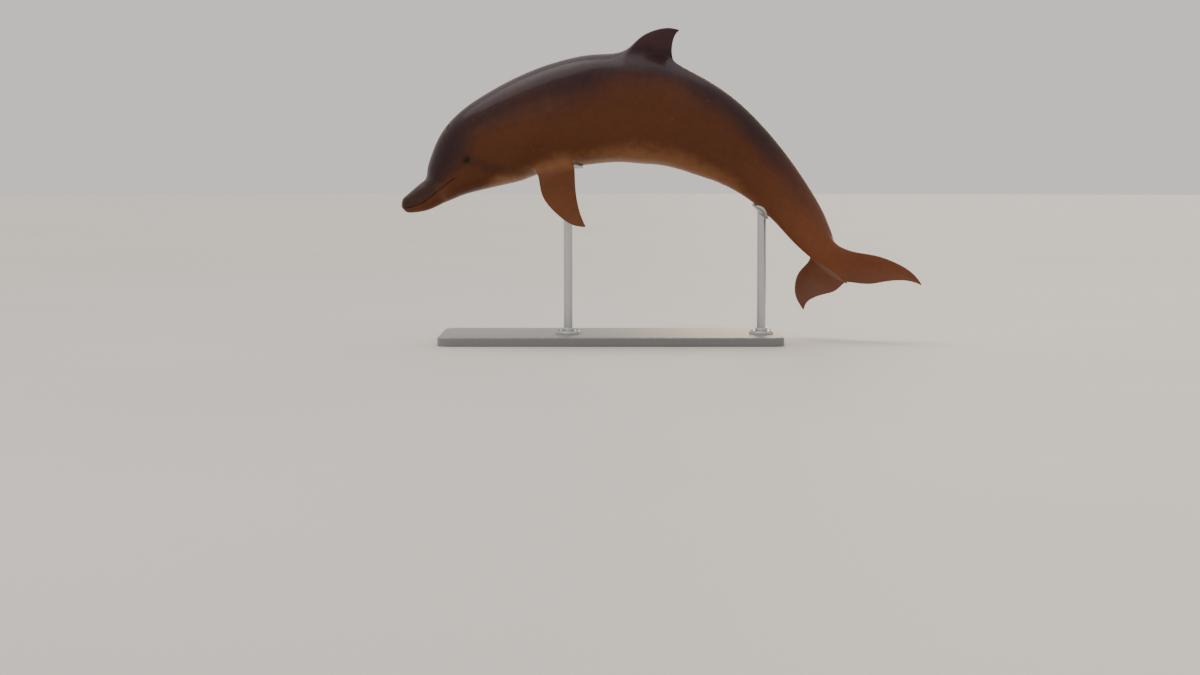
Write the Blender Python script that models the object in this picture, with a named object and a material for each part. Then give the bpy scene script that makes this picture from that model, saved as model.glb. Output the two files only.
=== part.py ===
"""A life-size bottlenose dolphin in mid-leap: a still model on a plain display stand.

The animal is one closed skin lofted along its spine, fins included, then parted with thin cuts into the pieces that a
person would name. X runs from the beak to the tail, Y from the left flank to the right and Z is up, all in metres.
The origin is on the floor, under the middle of the whole model.
"""

import math

import bmesh
import bpy
import numpy as np
from mathutils import Matrix, Vector

# ---------------------------------------------------------------- driving dimensions
LENGTH = 2.50  # along the spine, from the tip of the beak to the notch of the flukes
BEAK_TIP = (-1.1968, -0.1265, 0.6245)  # where the spine starts
CUT = 0.0005  # width of the thin cuts that part the body
GAP = 0.0003  # between a socket and what sits in it
COLUMNS = 16  # points round the body
FIT_ROUNDS = 4  # passes that draw the subdivided skin out to the wanted shape

# The pose: share of the length, pitch below level, swing away from the viewer, roll of the back towards the viewer.
POSE = (
    (0.00, -30, 0, 17),
    (0.14, -35.5, 0, 19),
    (0.22, -28, 0, 20),
    (0.30, -19.5, 0, 19),
    (0.38, -9.2, 0, 14),
    (0.45, 1.7, 0, 6),
    (0.51, 13.2, 0, 1),
    (0.57, 22.9, 0, -2),
    (0.66, 33.3, 0, -6),
    (0.76, 45.7, 0, -11),
    (0.86, 54, 4, -24),
    (0.925, 55.4, 14.3, -37.3),
    (0.96, 54.6, 25.1, -50),
    (1.00, 52.7, 32.9, -52.1),
)

# The body but for its beak: share of the length, then height of the back, depth of the belly and half width.
BODY = (
    (0.060, 0.0038, 0.0197, 0.0080),
    (0.070, 0.0204, 0.0304, 0.0270),
    (0.080, 0.0312, 0.0358, 0.0370),
    (0.094, 0.0423, 0.0402, 0.0440),
    (0.111, 0.0539, 0.0477, 0.0490),
    (0.141, 0.0700, 0.0602, 0.0560),
    (0.185, 0.0820, 0.0765, 0.0660),
    (0.222, 0.0857, 0.0850, 0.0740),
    (0.300, 0.0920, 0.0938, 0.0840),
    (0.380, 0.0976, 0.0992, 0.0870),
    (0.450, 0.0992, 0.0990, 0.0850),
    (0.510, 0.0967, 0.0967, 0.0790),
    (0.560, 0.0885, 0.0885, 0.0705),
    (0.620, 0.0795, 0.0795, 0.0590),
    (0.690, 0.0646, 0.0654, 0.0460),
    (0.760, 0.0518, 0.0538, 0.0360),
    (0.830, 0.0437, 0.0464, 0.0285),
    (0.890, 0.0365, 0.0412, 0.0235),
    (0.925, 0.0270, 0.0308, 0.0230),
    (0.945, 0.0195, 0.0218, 0.0235),
    (0.965, 0.0128, 0.0138, 0.0210),
    (0.985, 0.0070, 0.0070, 0.0118),
    (1.000, 0.0036, 0.0036, 0.0045),
)
BEAK = (
    (0.000, 0.0088, 0.0140, 0.0110),
    (0.030, 0.0133, 0.0305, 0.0190),
    (0.067, 0.0158, 0.0376, 0.0265),
    (0.110, 0.0163, 0.0437, 0.0360),
    (0.150, 0.0120, 0.0380, 0.0300),
)
ROUNDNESS = ((0.00, 2.3), (0.10, 2.15), (0.45, 2.1), (0.70, 1.9), (0.88, 1.7), (0.93, 1.4), (0.96, 1.3), (1.00, 1.2))
MELON_FOLD = 0.0035  # how softly the melon rises out of the beak
UPPER_LIP_BACK = 0.006  # how far the upper jaw stops short of the lower

# Rings of the body. A fin grows from the faces between its own five rings.
HEAD_RINGS = (0.004, 0.017, 0.034, 0.052, 0.063, 0.070, 0.079, 0.092, 0.110, 0.133, 0.162, 0.194, 0.224)
FLIPPER_RINGS = (0.256, 0.276, 0.296, 0.316, 0.336)
CHEST_RINGS = (0.369, 0.406)
DORSAL_RINGS = (0.444, 0.4645, 0.485, 0.5055, 0.526)
TAIL_RINGS = (0.566, 0.616, 0.668, 0.720, 0.772, 0.824, 0.872)
FLUKE_RINGS = (0.915, 0.935, 0.956, 0.979, 1.003)
RINGS = HEAD_RINGS + FLIPPER_RINGS + CHEST_RINGS + DORSAL_RINGS + TAIL_RINGS + FLUKE_RINGS

# Where the columns stand round the body, in degrees from the back, and how far a fin draws its neighbours in.
FLIPPER_AT = 138.0
DORSAL_PINCH, FLIPPER_PINCH, FLUKE_PINCH = 14.0, 14.0, 27.0

# Outlines: root, two handles and the shared tip, along the chord and the span, as shares of the length.
DORSAL_FRONT = ((0.0, 0.0), (0.0128, 0.0367), (0.0495, 0.0642))
DORSAL_REAR = ((0.0910, 0.0), (0.0789, 0.0128), (0.0734, 0.0440))
DORSAL_TIP = (0.0881, 0.0589)
FLIPPER_FRONT = ((-0.043, 0.0), (-0.050, 0.055), (-0.046, 0.116))
FLIPPER_REAR = ((0.040, 0.0), (0.022, 0.040), (-0.004, 0.080))
FLIPPER_TIP = (-0.0064, 0.1402)
FLUKE_FRONT = ((-0.068, 0.0328), (-0.0524, 0.0667), (-0.0108, 0.1304))
FLUKE_REAR = ((0.0165, 0.0090), (0.038, 0.0562), (0.0192, 0.0945))
FLUKE_TIP = (0.0661, 0.1249)
FLUKE_RISE = 6.3  # degrees that each fluke tilts up from level
DORSAL_BASE = (0.453, 0.518)  # the stations that its root spans
FLIPPER_ROOT = 0.296  # the station of its root's middle
FLIPPER_DROOP, FLIPPER_SWEEP, FLIPPER_TWIST = 40.0, 9.0, 5.0  # degrees, in the body's own frame
FIN_STEPS = (0.18, 0.44, 0.74, 0.97)  # how far out towards the tip each loop of a fin is
FIN_CHORD = (0.045, 0.20, 0.42, 0.66, 0.88)  # how far back each point of a side is
FIN_SECTION = (0.50, 0.92, 1.0, 0.72, 0.30)  # half thickness at those points
DORSAL_THICK, FLIPPER_THICK, FLUKE_THICK = 0.0085, 0.0085, 0.0068  # half thickness at the root

# Cuts between the pieces, at stations or as shares of the length out from a fin's root.
NECK_CUT, CHEST_CUT, TRUNK_CUT = 0.228, 0.400, 0.610
MOUTH = ((-0.03, 0.0), (0.0, -0.003), (0.02, -0.0088), (0.056, -0.0088), (0.08, -0.003), (0.1, 0.0012), (0.117, 0.0012))
ROSTRUM_CUT, JAW_CUT = 0.0665, 0.1160
DORSAL_CUT, FLIPPER_CUT, FLUKE_CUT = 0.004, 0.011, 0.034

# Eyes: where they sit, and how far they stand out.
EYE_STATION, EYE_ANGLE, EYE_RADIUS, EYE_PROUD = 0.149, 76.0, 0.0170, 0.0036

# The stand.
BASE_SIZE = (1.560, 0.660, 0.040)
BASE_MIDDLE = (-0.2418, -0.0648)
BASE_CORNER, BASE_CHAMFER = 0.060, 0.005
RODS = (("stand_rod_front", 0.350, 0.072), ("stand_rod_rear", 0.735, 0.048))  # name, station, saddle radius
ROD_RADIUS, FOOT_RADIUS, FOOT_HEIGHT = 0.020, 0.055, 0.014
SADDLE_THICK = 0.014

DARK_BACK, BROWN_FLANK, PALE_BELLY = (0.045, 0.028, 0.030), (0.095, 0.045, 0.026), (0.28, 0.16, 0.095)
EYE_DARK, BASE_PAINT, STEEL = (0.02, 0.015, 0.012), (0.20, 0.20, 0.205), (0.55, 0.56, 0.58)


# ---------------------------------------------------------------- curves
def spline(table):
    """A smooth curve through the rows of a table, straight on beyond its ends."""
    knots = np.array([row[0] for row in table], float)
    rows = np.array([row[1:] for row in table], float)
    step = np.diff(knots)
    slope = np.diff(rows, axis=0) / step[:, None]
    count = len(knots)
    system = np.zeros((count, count))
    wanted = np.zeros_like(rows)
    system[0, :2] = 2, 1
    system[-1, -2:] = 1, 2
    wanted[0], wanted[-1] = 3 * slope[0], 3 * slope[-1]
    for i in range(1, count - 1):
        system[i, i - 1 : i + 2] = step[i], 2 * (step[i - 1] + step[i]), step[i - 1]
        wanted[i] = 3 * (step[i] * slope[i - 1] + step[i - 1] * slope[i])
    tangent = np.linalg.solve(system, wanted)

    def at(u):
        if u <= knots[0]:
            return rows[0] + tangent[0] * (u - knots[0])
        if u >= knots[-1]:
            return rows[-1] + tangent[-1] * (u - knots[-1])
        i = int(np.searchsorted(knots, u)) - 1
        t = (u - knots[i]) / step[i]
        return (
            rows[i] * (1 + 2 * t) * (1 - t) ** 2
            + rows[i + 1] * t * t * (3 - 2 * t)
            + tangent[i] * step[i] * t * (1 - t) ** 2
            + tangent[i + 1] * step[i] * t * t * (t - 1)
        )

    return at


POSE_AT, BODY_AT, BEAK_AT, ROUND_AT = spline(POSE), spline(BODY), spline(BEAK), spline(ROUNDNESS)


def bezier(points, tip, t):
    """The point at t on a cubic from points[0] to the tip."""
    a, b, c, d = (np.array(p, float) for p in (*points, tip))
    return a * (1 - t) ** 3 + 3 * b * t * (1 - t) ** 2 + 3 * c * t * t * (1 - t) + d * t**3


# ---------------------------------------------------------------- spine
def directions(u):
    """The unit vectors towards the tail, the back and the left flank at a station."""
    pitch, swing, roll = (math.radians(v) for v in POSE_AT(u))
    tail = Vector((math.cos(swing) * math.cos(pitch), math.sin(swing), -math.cos(swing) * math.sin(pitch)))
    level = Vector((math.sin(pitch), 0.0, math.cos(pitch)))
    side = tail.cross(level)
    back = level * math.cos(roll) + side * math.sin(roll)
    return tail, back, side * math.cos(roll) - level * math.sin(roll)


def spine_points(steps=1000):
    """Places along the spine, from the beak to the notch."""
    places = [Vector(BEAK_TIP)]
    for i in range(steps):
        places.append(places[-1] + directions((i + 0.5) / steps)[0] * (LENGTH / steps))
    return places


SPINE = spine_points()


def spine(u):
    """The place of a station, straight on beyond the two ends."""
    at = u * (len(SPINE) - 1)
    i = min(max(int(math.floor(at)), 0), len(SPINE) - 2)
    return SPINE[i].lerp(SPINE[i + 1], at - i)


# ---------------------------------------------------------------- the body's shape
def soft_max(a, b, k):
    return 0.5 * (a + b + np.sqrt((a - b) ** 2 + k * k))


def section(u):
    """Height of the back, depth of the belly and half width at a station, in metres."""
    body, beak = BODY_AT(u), BEAK_AT(min(u, BEAK[-1][0])) * max(0.0, 1 - max(0.0, u - BEAK[-1][0]) / 0.1)
    return soft_max(body, beak, MELON_FOLD) * LENGTH


def on_body(u, degrees, out=0.0):
    """A point of the skin at a station, so many degrees round from the back by the left flank."""
    tail, back, left = directions(u)
    high, low, wide = section(u)
    power = 2.0 / float(ROUND_AT(u)[0])
    c, s = math.cos(math.radians(degrees)), math.sin(math.radians(degrees))
    across = math.copysign(abs(s) ** power, s) * (wide + out)
    up = math.copysign(abs(c) ** power, c) * ((high if c > 0 else low) + out)
    lip = UPPER_LIP_BACK * LENGTH * max(0.0, 1 - u / 0.06) * (0.5 + 0.5 * np.clip(up / (0.012 * LENGTH), -1, 1))
    return spine(u) + left * across + back * up + tail * float(lip)


def near(u, rings, fade=0.035):
    """1 between the first and last of these rings, falling to 0 beyond them."""
    away = max(rings[0] - u, u - rings[-1], 0.0)
    return max(0.0, 1 - away / fade)


def column_angles(u):
    """Where each column stands at a station: even, but drawn in beside a fin."""
    base = [360.0 * k / COLUMNS for k in range(COLUMNS)]
    at_fin = near(u, DORSAL_RINGS)
    for k, way in ((1, 1), (COLUMNS - 1, -1)):
        base[k] += way * at_fin * (DORSAL_PINCH - 22.5)
    at_flipper = near(u, FLIPPER_RINGS)
    for k, way in ((6, 1), (10, -1)):
        middle = FLIPPER_AT if way > 0 else 360 - FLIPPER_AT
        for j, target in ((k, middle), (k - way, middle - way * FLIPPER_PINCH), (k + way, middle + way * FLIPPER_PINCH)):
            base[j] += at_flipper * (target - base[j])
    at_fluke = near(u, FLUKE_RINGS)
    for k in (4, 12):
        for j, way in ((k - 1, 1), (k + 1, -1)):
            base[j] += way * at_fluke * (22.5 - FLUKE_PINCH)
    return base


# ---------------------------------------------------------------- the cage
class Cage:
    """Points and faces of the control cage, with the rings of the body as a grid."""

    def __init__(self):
        self.points, self.faces = [], []

    def add(self, point):
        self.points.append(Vector(point))
        return len(self.points) - 1

    def face(self, *corners):
        self.faces.append(corners)


def body_grid(cage):
    """Adds the rings and returns the index of each point, ring by ring."""
    return [[cage.add(on_body(u, angle)) for angle in column_angles(u)] for u in RINGS]


def fin_holes():
    """The cells of the grid, as ring and column, that fins replace."""
    holes = set()
    for rings, columns in ((DORSAL_RINGS, (COLUMNS - 1, 0)), (FLIPPER_RINGS, (5, 6, 9, 10)), (FLUKE_RINGS, (3, 4, 11, 12))):
        first = RINGS.index(rings[0])
        holes |= {(first + i, k) for i in range(len(rings) - 1) for k in columns}
    return holes


def close_beak(cage, ring):
    """Domes the front with a grid of 4 by 4 cells whose rim is the first ring."""
    rim = [ring[(k + 2) % COLUMNS] for k in range(COLUMNS)]
    edge = {}
    for i in range(4):
        edge[(i, 0)], edge[(4, i)] = rim[i], rim[4 + i]
        edge[(4 - i, 4)], edge[(0, 4 - i)] = rim[8 + i], rim[12 + i]
    middle = sum((cage.points[i] for i in ring), Vector()) / COLUMNS
    tail, back, left = directions(0.0)
    for i in range(1, 4):
        for j in range(1, 4):
            a, b = i / 4, j / 4
            flat = (
                cage.points[edge[(0, j)]] * (1 - a)
                + cage.points[edge[(4, j)]] * a
                + cage.points[edge[(i, 0)]] * (1 - b)
                + cage.points[edge[(i, 4)]] * b
            ) / 2
            flat = middle + (flat - middle) * 0.80
            bulge = (1 - (2 * a - 1) ** 2) * (1 - (2 * b - 1) ** 2)
            edge[(i, j)] = cage.add(flat - tail * (0.0048 * LENGTH * bulge + 0.002 * LENGTH))
    for i in range(4):
        for j in range(4):
            cage.face(edge[(i, j)], edge[(i, j + 1)], edge[(i + 1, j + 1)], edge[(i + 1, j)])


def close_tail(cage, ring):
    """Closes the last ring as a flat edge, back to belly."""
    half = COLUMNS // 2
    for k in range(half // 2 - 1):
        cage.face(ring[k], ring[k + 1], ring[half - k - 1], ring[half - k])
        cage.face(ring[half + k], ring[half + k + 1], ring[-k - 1], ring[(COLUMNS - k) % COLUMNS])
    quarter = half // 2
    cage.face(ring[quarter - 1], ring[quarter], ring[quarter + 1])
    cage.face(ring[-quarter - 1], ring[-quarter], ring[-quarter + 1])


def hole_loop(grid, rings, column):
    """The rim of a fin's hole: front, one side going back, rear, the other side coming forward."""
    first = RINGS.index(rings[0])
    rows = range(first, first + len(rings))
    before, after = (column - 1) % COLUMNS, (column + 1) % COLUMNS
    side = [grid[r][after] for r in rows]
    other = [grid[r][before] for r in reversed(rows)]
    return [grid[rows[0]][column], *side, grid[rows[-1]][column], *other]


def grow_fin(cage, loop, place, front, rear, tip, thick, side):
    """Grows a fin from a rim. place(chord, span, out) gives the point, out being towards the rim's first side."""
    count = len(FIN_CHORD)
    for t in FIN_STEPS:
        lead, trail = bezier(front, tip, t) * LENGTH, bezier(rear, tip, t) * LENGTH
        half = thick * LENGTH * (1 - 0.78 * t**1.3)
        new = [cage.add(place(*lead, 0.0))]
        for way in (1, -1):
            order = range(count) if way == 1 else reversed(range(count))
            for i in order:
                chord, span = lead + (trail - lead) * FIN_CHORD[i]
                new.append(cage.add(place(chord, span, side * way * half * FIN_SECTION[i])))
            if way == 1:
                new.append(cage.add(place(*trail, 0.0)))
        size = len(loop)
        for i in range(size):
            cage.face(loop[i], loop[(i + 1) % size], new[(i + 1) % size], new[i])
        loop = new
    size = len(loop)
    cage.face(loop[0], loop[1], loop[-1])
    for i in range(1, count):
        cage.face(loop[i], loop[i + 1], loop[size - i - 1], loop[size - i])
    cage.face(loop[count], loop[count + 1], loop[count + 2])


# ---------------------------------------------------------------- where the fins are
def dorsal_frame():
    """Root, chord, span and thickness directions of the dorsal fin."""
    root, rear = (on_body(u, 0.0) for u in DORSAL_BASE)
    chord = (rear - root).normalized()
    back = directions(sum(DORSAL_BASE) / 2)[1]
    span = (back - chord * back.dot(chord)).normalized()
    return root, chord, span, chord.cross(span)


def flipper_frame(way):
    """The same for a flipper, way being 1 for the left and -1 for the right."""
    tail, back, left = directions(FLIPPER_ROOT)
    droop, sweep = math.radians(FLIPPER_DROOP), math.radians(FLIPPER_SWEEP)
    outward = left * way * math.cos(droop) - back * math.sin(droop)
    span = (tail * math.sin(sweep) + outward * math.cos(sweep)).normalized()
    chord = (tail - span * tail.dot(span)).normalized()
    chord = Matrix.Rotation(math.radians(FLIPPER_TWIST) * way, 3, span) @ chord
    root = on_body(FLIPPER_ROOT, FLIPPER_AT if way > 0 else 360 - FLIPPER_AT)
    return root, chord, span, chord.cross(span)


def fluke_frame(way):
    """The same for a fluke, from the notch."""
    tail, back, left = directions(1.0)
    turn = Matrix.Rotation(-math.radians(FLUKE_RISE) * way, 3, tail)
    return spine(1.0), tail, turn @ left * way, turn @ back


def placer(frame):
    root, chord, span, out = frame
    return lambda c, s, o: root + chord * float(c) + span * float(s) + out * float(o)


def build_cage():
    """The whole animal as one closed cage."""
    cage = Cage()
    grid = body_grid(cage)
    holes = fin_holes()
    for r in range(len(RINGS) - 1):
        for k in range(COLUMNS):
            if (r, k) not in holes:
                after = (k + 1) % COLUMNS
                cage.face(grid[r][k], grid[r + 1][k], grid[r + 1][after], grid[r][after])
    close_beak(cage, grid[0])
    close_tail(cage, grid[-1])
    dorsal = placer(dorsal_frame())
    grow_fin(cage, hole_loop(grid, DORSAL_RINGS, 0), dorsal, DORSAL_FRONT, DORSAL_REAR, DORSAL_TIP, DORSAL_THICK, 1)
    for way, column in ((1, 6), (-1, 10)):
        loop = hole_loop(grid, FLIPPER_RINGS, column)
        place = placer(flipper_frame(way))
        grow_fin(cage, loop, place, FLIPPER_FRONT, FLIPPER_REAR, FLIPPER_TIP, FLIPPER_THICK, 1)
    for way, column in ((1, 4), (-1, 12)):
        loop = hole_loop(grid, FLUKE_RINGS, column)
        place = placer(fluke_frame(way))
        grow_fin(cage, loop, place, FLUKE_FRONT, FLUKE_REAR, FLUKE_TIP, FLUKE_THICK, -way)
    return cage


# ---------------------------------------------------------------- meshes
def new_object(name, points, faces):
    mesh = bpy.data.meshes.new(name)
    mesh.from_pydata([tuple(p) for p in points], [], faces)
    obj = bpy.data.objects.new(name, mesh)
    bpy.context.collection.objects.link(obj)
    return obj


def outward(obj):
    """Drops loose points and turns every face outward."""
    edit = bmesh.new()
    edit.from_mesh(obj.data)
    bmesh.ops.delete(edit, geom=[v for v in edit.verts if not v.link_faces], context="VERTS")
    bmesh.ops.recalc_face_normals(edit, faces=edit.faces)
    edit.to_mesh(obj.data)
    edit.free()


def evaluated(obj):
    """The object's mesh with its modifiers applied."""
    bpy.context.view_layer.update()
    return bpy.data.meshes.new_from_object(obj.evaluated_get(bpy.context.evaluated_depsgraph_get()))


def bake(obj):
    """Puts the modified mesh in the object's own place."""
    mesh = evaluated(obj)
    obj.modifiers.clear()
    obj.data = mesh
    return obj


def subdivide(obj, levels):
    modifier = obj.modifiers.new("subdivide", "SUBSURF")
    modifier.levels = modifier.render_levels = levels
    modifier.use_limit_surface = True


def fit(obj):
    """Moves the cage out until the smooth surface passes through the points that it was given."""
    wanted = np.array([v.co for v in obj.data.vertices])
    subdivide(obj, 1)
    cage = wanted.copy()
    for _ in range(FIT_ROUNDS):
        smooth = evaluated(obj)
        reached = np.array([v.co for v in smooth.vertices])[: len(wanted)]
        bpy.data.meshes.remove(smooth)
        cage += 0.8 * (wanted - reached)
        obj.data.vertices.foreach_set("co", cage.ravel())
        obj.data.update()


def triangulate(obj):
    edit = bmesh.new()
    edit.from_mesh(obj.data)
    bmesh.ops.triangulate(edit, faces=edit.faces)
    edit.to_mesh(obj.data)
    edit.free()
    return obj


def build_skin():
    cage = build_cage()
    obj = new_object("skin", cage.points, cage.faces)
    outward(obj)
    fit(obj)
    return triangulate(bake(obj))


# ---------------------------------------------------------------- cuts
def cutter(name, corners, faces):
    obj = new_object(name, corners, faces)
    outward(obj)
    obj.hide_render = True
    obj.display_type = "WIRE"
    return obj


def slab(name, middle, normal, along, reach, width):
    """A thin box across the normal, reaching so far each way along one direction and across it."""
    across = normal.cross(along).normalized()
    corners = [
        middle + along * reach * a + across * width * b + normal * (CUT / 2) * c
        for a in (-1, 1)
        for b in (-1, 1)
        for c in (-1, 1)
    ]
    faces = [(0, 1, 3, 2), (4, 6, 7, 5), (0, 4, 5, 1), (2, 3, 7, 6), (0, 2, 6, 4), (1, 5, 7, 3)]
    return cutter(name, corners, faces)


def station_slab(name, u, reach):
    tail, back, left = directions(u)
    return slab(name, spine(u), tail, back, reach, reach)


def mouth_sheet():
    """A thin curved sheet along the line of the mouth, across the whole head."""
    corners, faces = [], []
    for u, height in MOUTH:
        tail, back, left = directions(u)
        line = spine(u) + back * height * LENGTH
        for side in (-1, 1):
            corners += [line + left * side * 0.065 * LENGTH + back * half for half in (-CUT / 2, CUT / 2)]
    for i in range(0, 4 * (len(MOUTH) - 1), 4):
        faces += [(i, i + 4, i + 5, i + 1), (i + 2, i + 3, i + 7, i + 6)]
        faces += [(i, i + 2, i + 6, i + 4), (i + 1, i + 5, i + 7, i + 3)]
    last = len(corners) - 4
    faces += [(0, 1, 3, 2), (last, last + 2, last + 3, last + 1)]
    return triangulate(cutter("cut_mouth", corners, faces))


def mouth_height(u):
    return float(np.interp(u, [row[0] for row in MOUTH], [row[1] for row in MOUTH])) * LENGTH


def jaw_slab(name, u, way):
    """A thin box across the head from the mouth up (1) or down (-1)."""
    tail, back, left = directions(u)
    reach = 0.05 * LENGTH
    start = spine(u) + back * (mouth_height(u) - way * CUT)
    return slab(name, start + back * way * reach, tail, back, reach, 0.07 * LENGTH)


def fin_slab(name, frame, out, chord_from, chord_to, thick):
    """A thin box across a fin, so far out from its root."""
    root, chord, span, side = frame
    middle = root + (span * out + chord * (chord_from + chord_to) / 2) * LENGTH
    return slab(name, middle, span, chord, (chord_to - chord_from) / 2 * LENGTH, thick * LENGTH)


def ball(name, middle, radius, rings=6, columns=12):
    bpy.ops.mesh.primitive_uv_sphere_add(segments=columns, ring_count=rings, radius=radius)
    obj = bpy.context.active_object
    obj.data.transform(Matrix.Translation(middle))
    obj.name = obj.data.name = name
    return obj


def eye_middle(way):
    angle = EYE_ANGLE if way > 0 else 360 - EYE_ANGLE
    ahead = on_body(EYE_STATION + 0.01, angle) - on_body(EYE_STATION - 0.01, angle)
    round_it = on_body(EYE_STATION, angle + 4) - on_body(EYE_STATION, angle - 4)
    out = round_it.cross(ahead).normalized()
    return on_body(EYE_STATION, angle) - out * (EYE_RADIUS - EYE_PROUD)


def build_cutters():
    cutters = [fin_slab("cut_dorsal", dorsal_frame(), DORSAL_CUT, -0.03, 0.13, 0.05)]
    for way, side in ((1, "left"), (-1, "right")):
        cutters.append(fin_slab(f"cut_flipper_{side}", flipper_frame(way), FLIPPER_CUT, -0.075, 0.075, 0.045))
        cutters.append(fin_slab(f"cut_fluke_{side}", fluke_frame(way), FLUKE_CUT, -0.088, 0.045, 0.045))
        pocket = ball(f"cut_eye_{side}", eye_middle(way), EYE_RADIUS + GAP)
        pocket.hide_render = True
        pocket.display_type = "WIRE"
        cutters.append(pocket)
    cutters += [
        mouth_sheet(),
        jaw_slab("cut_rostrum", ROSTRUM_CUT, 1),
        jaw_slab("cut_jaw", JAW_CUT, -1),
        station_slab("cut_neck", NECK_CUT, 0.26),
        station_slab("cut_chest", CHEST_CUT, 0.30),
        station_slab("cut_trunk", TRUNK_CUT, 0.26),
    ]
    return cutters


def boolean(obj, other, operation):
    modifier = obj.modifiers.new(other.name, "BOOLEAN")
    modifier.operation, modifier.solver, modifier.object = operation, "EXACT", other


def islands(mesh):
    """The faces of each connected piece of a mesh."""
    edit = bmesh.new()
    edit.from_mesh(mesh)
    left, found = set(edit.faces), []
    while left:
        start = left.pop()
        piece, edge = [start], [start]
        while edge:
            for corner in edge.pop().verts:
                fresh = left.intersection(corner.link_faces)
                left -= fresh
                edge += fresh
                piece += fresh
        found.append([[v.co.copy() for v in face.verts] for face in piece])
    edit.free()
    return found


def piece_object(name, polygons):
    points, index, faces = [], {}, []
    for polygon in polygons:
        corners = []
        for co in polygon:
            key = tuple(co)
            if key not in index:
                index[key] = len(points)
                points.append(co)
            corners.append(index[key])
        faces.append(corners)
    return new_object(name, points, faces)


def anchors():
    """A place inside each piece of the body, by name."""
    places = {"head": spine(0.16), "chest": spine(0.31), "trunk": spine(0.50), "tail_stock": spine(0.77)}
    tail, back, left = directions(0.05)
    places["upper_jaw"] = spine(0.038) + back * 0.002 * LENGTH
    places["lower_jaw"] = spine(0.06) - back * 0.028 * LENGTH
    for name, frame, chord, span in (
        ("dorsal_fin", dorsal_frame(), 0.05, 0.03),
        ("flipper_left", flipper_frame(1), 0.0, 0.07),
        ("flipper_right", flipper_frame(-1), 0.0, 0.07),
        ("fluke_left", fluke_frame(1), -0.01, 0.08),
        ("fluke_right", fluke_frame(-1), -0.01, 0.08),
    ):
        places[name] = placer(frame)(chord * LENGTH, span * LENGTH, 0.0)
    return places


def box_of(obj):
    corners = np.array([v.co for v in obj.data.vertices])
    return corners.min(axis=0), corners.max(axis=0)


def apart(obj, other):
    """Whether the boxes round two objects miss each other."""
    (low, high), (other_low, other_high) = box_of(obj), box_of(other)
    return bool((high < other_low).any() or (other_high < low).any())


def divide(pieces, tool):
    """Cuts every piece that the tool may reach, and returns all the connected pieces."""
    divided = []
    for obj in pieces:
        if apart(obj, tool):
            divided.append(obj)
            continue
        boolean(obj, tool, "DIFFERENCE")
        divided += [piece_object("piece", polygons) for polygons in islands(evaluated(obj))]
        bpy.data.objects.remove(obj)
    return divided


def part_body(skin):
    """Cuts the skin and names each piece after the place that it is nearest to."""
    pieces = [skin]
    for tool in build_cutters():
        pieces = divide(pieces, tool)
    places, named = anchors(), {}
    for obj in pieces:
        middle = Vector(sum(box_of(obj)) / 2)
        name = min(places, key=lambda key: (places[key] - middle).length)
        if name in named:
            raise RuntimeError(f"two pieces are nearest to {name}")
        obj.name = obj.data.name = name
        named[name] = obj
    if set(named) != set(places):
        raise RuntimeError(f"missing {sorted(set(places) - set(named))}")
    return named


# ---------------------------------------------------------------- the stand
def lathe(name, profile, base, axis, columns=16):
    """A solid of revolution from (radius, height) rows along an axis, closed at both ends."""
    turn = Vector((0, 0, 1)).rotation_difference(axis).to_matrix()
    points, faces = [], []
    for radius, height in profile:
        for k in range(columns):
            angle = 2 * math.pi * k / columns
            points.append(base + turn @ Vector((radius * math.cos(angle), radius * math.sin(angle), height)))
    for i in range(len(profile) - 1):
        for k in range(columns):
            a, b = i * columns + k, i * columns + (k + 1) % columns
            faces.append((a, b, b + columns, a + columns))
    faces.append(tuple(range(columns)))
    faces.append(tuple(range(len(points) - columns, len(points))))
    obj = new_object(name, points, faces)
    outward(obj)
    return obj


def build_base():
    """A flat plate with round corners and a small chamfer on top."""
    length, width, height = BASE_SIZE
    points, faces, segments = [], [], 6
    for inset, z in ((0.0, 0.0), (0.0, height - BASE_CHAMFER), (BASE_CHAMFER, height)):
        radius = BASE_CORNER - inset
        for corner in range(4):
            x = (length / 2 - BASE_CORNER) * (1 if corner in (0, 3) else -1)
            y = (width / 2 - BASE_CORNER) * (1 if corner in (0, 1) else -1)
            for k in range(segments + 1):
                angle = math.radians(90 * corner + 90 * k / segments)
                place = (x + radius * math.cos(angle), y + radius * math.sin(angle), z)
                points.append(Vector((BASE_MIDDLE[0], BASE_MIDDLE[1], 0)) + Vector(place))
    count = 4 * (segments + 1)
    for i in range(2):
        for k in range(count):
            a, b = i * count + k, i * count + (k + 1) % count
            faces.append((a, b, b + count, a + count))
    faces += [tuple(range(count)), tuple(range(2 * count, 3 * count))]
    obj = new_object("stand_base", points, faces)
    outward(obj)
    return obj


def grown(skin):
    """A copy of the body, larger by the gap all round."""
    mesh = skin.data.copy()
    for vertex, normal in zip(mesh.vertices, [v.normal.copy() for v in mesh.vertices]):
        vertex.co += normal * GAP
    obj = bpy.data.objects.new("cut_saddles", mesh)
    bpy.context.collection.objects.link(obj)
    obj.hide_render = True
    obj.display_type = "WIRE"
    return obj


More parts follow.
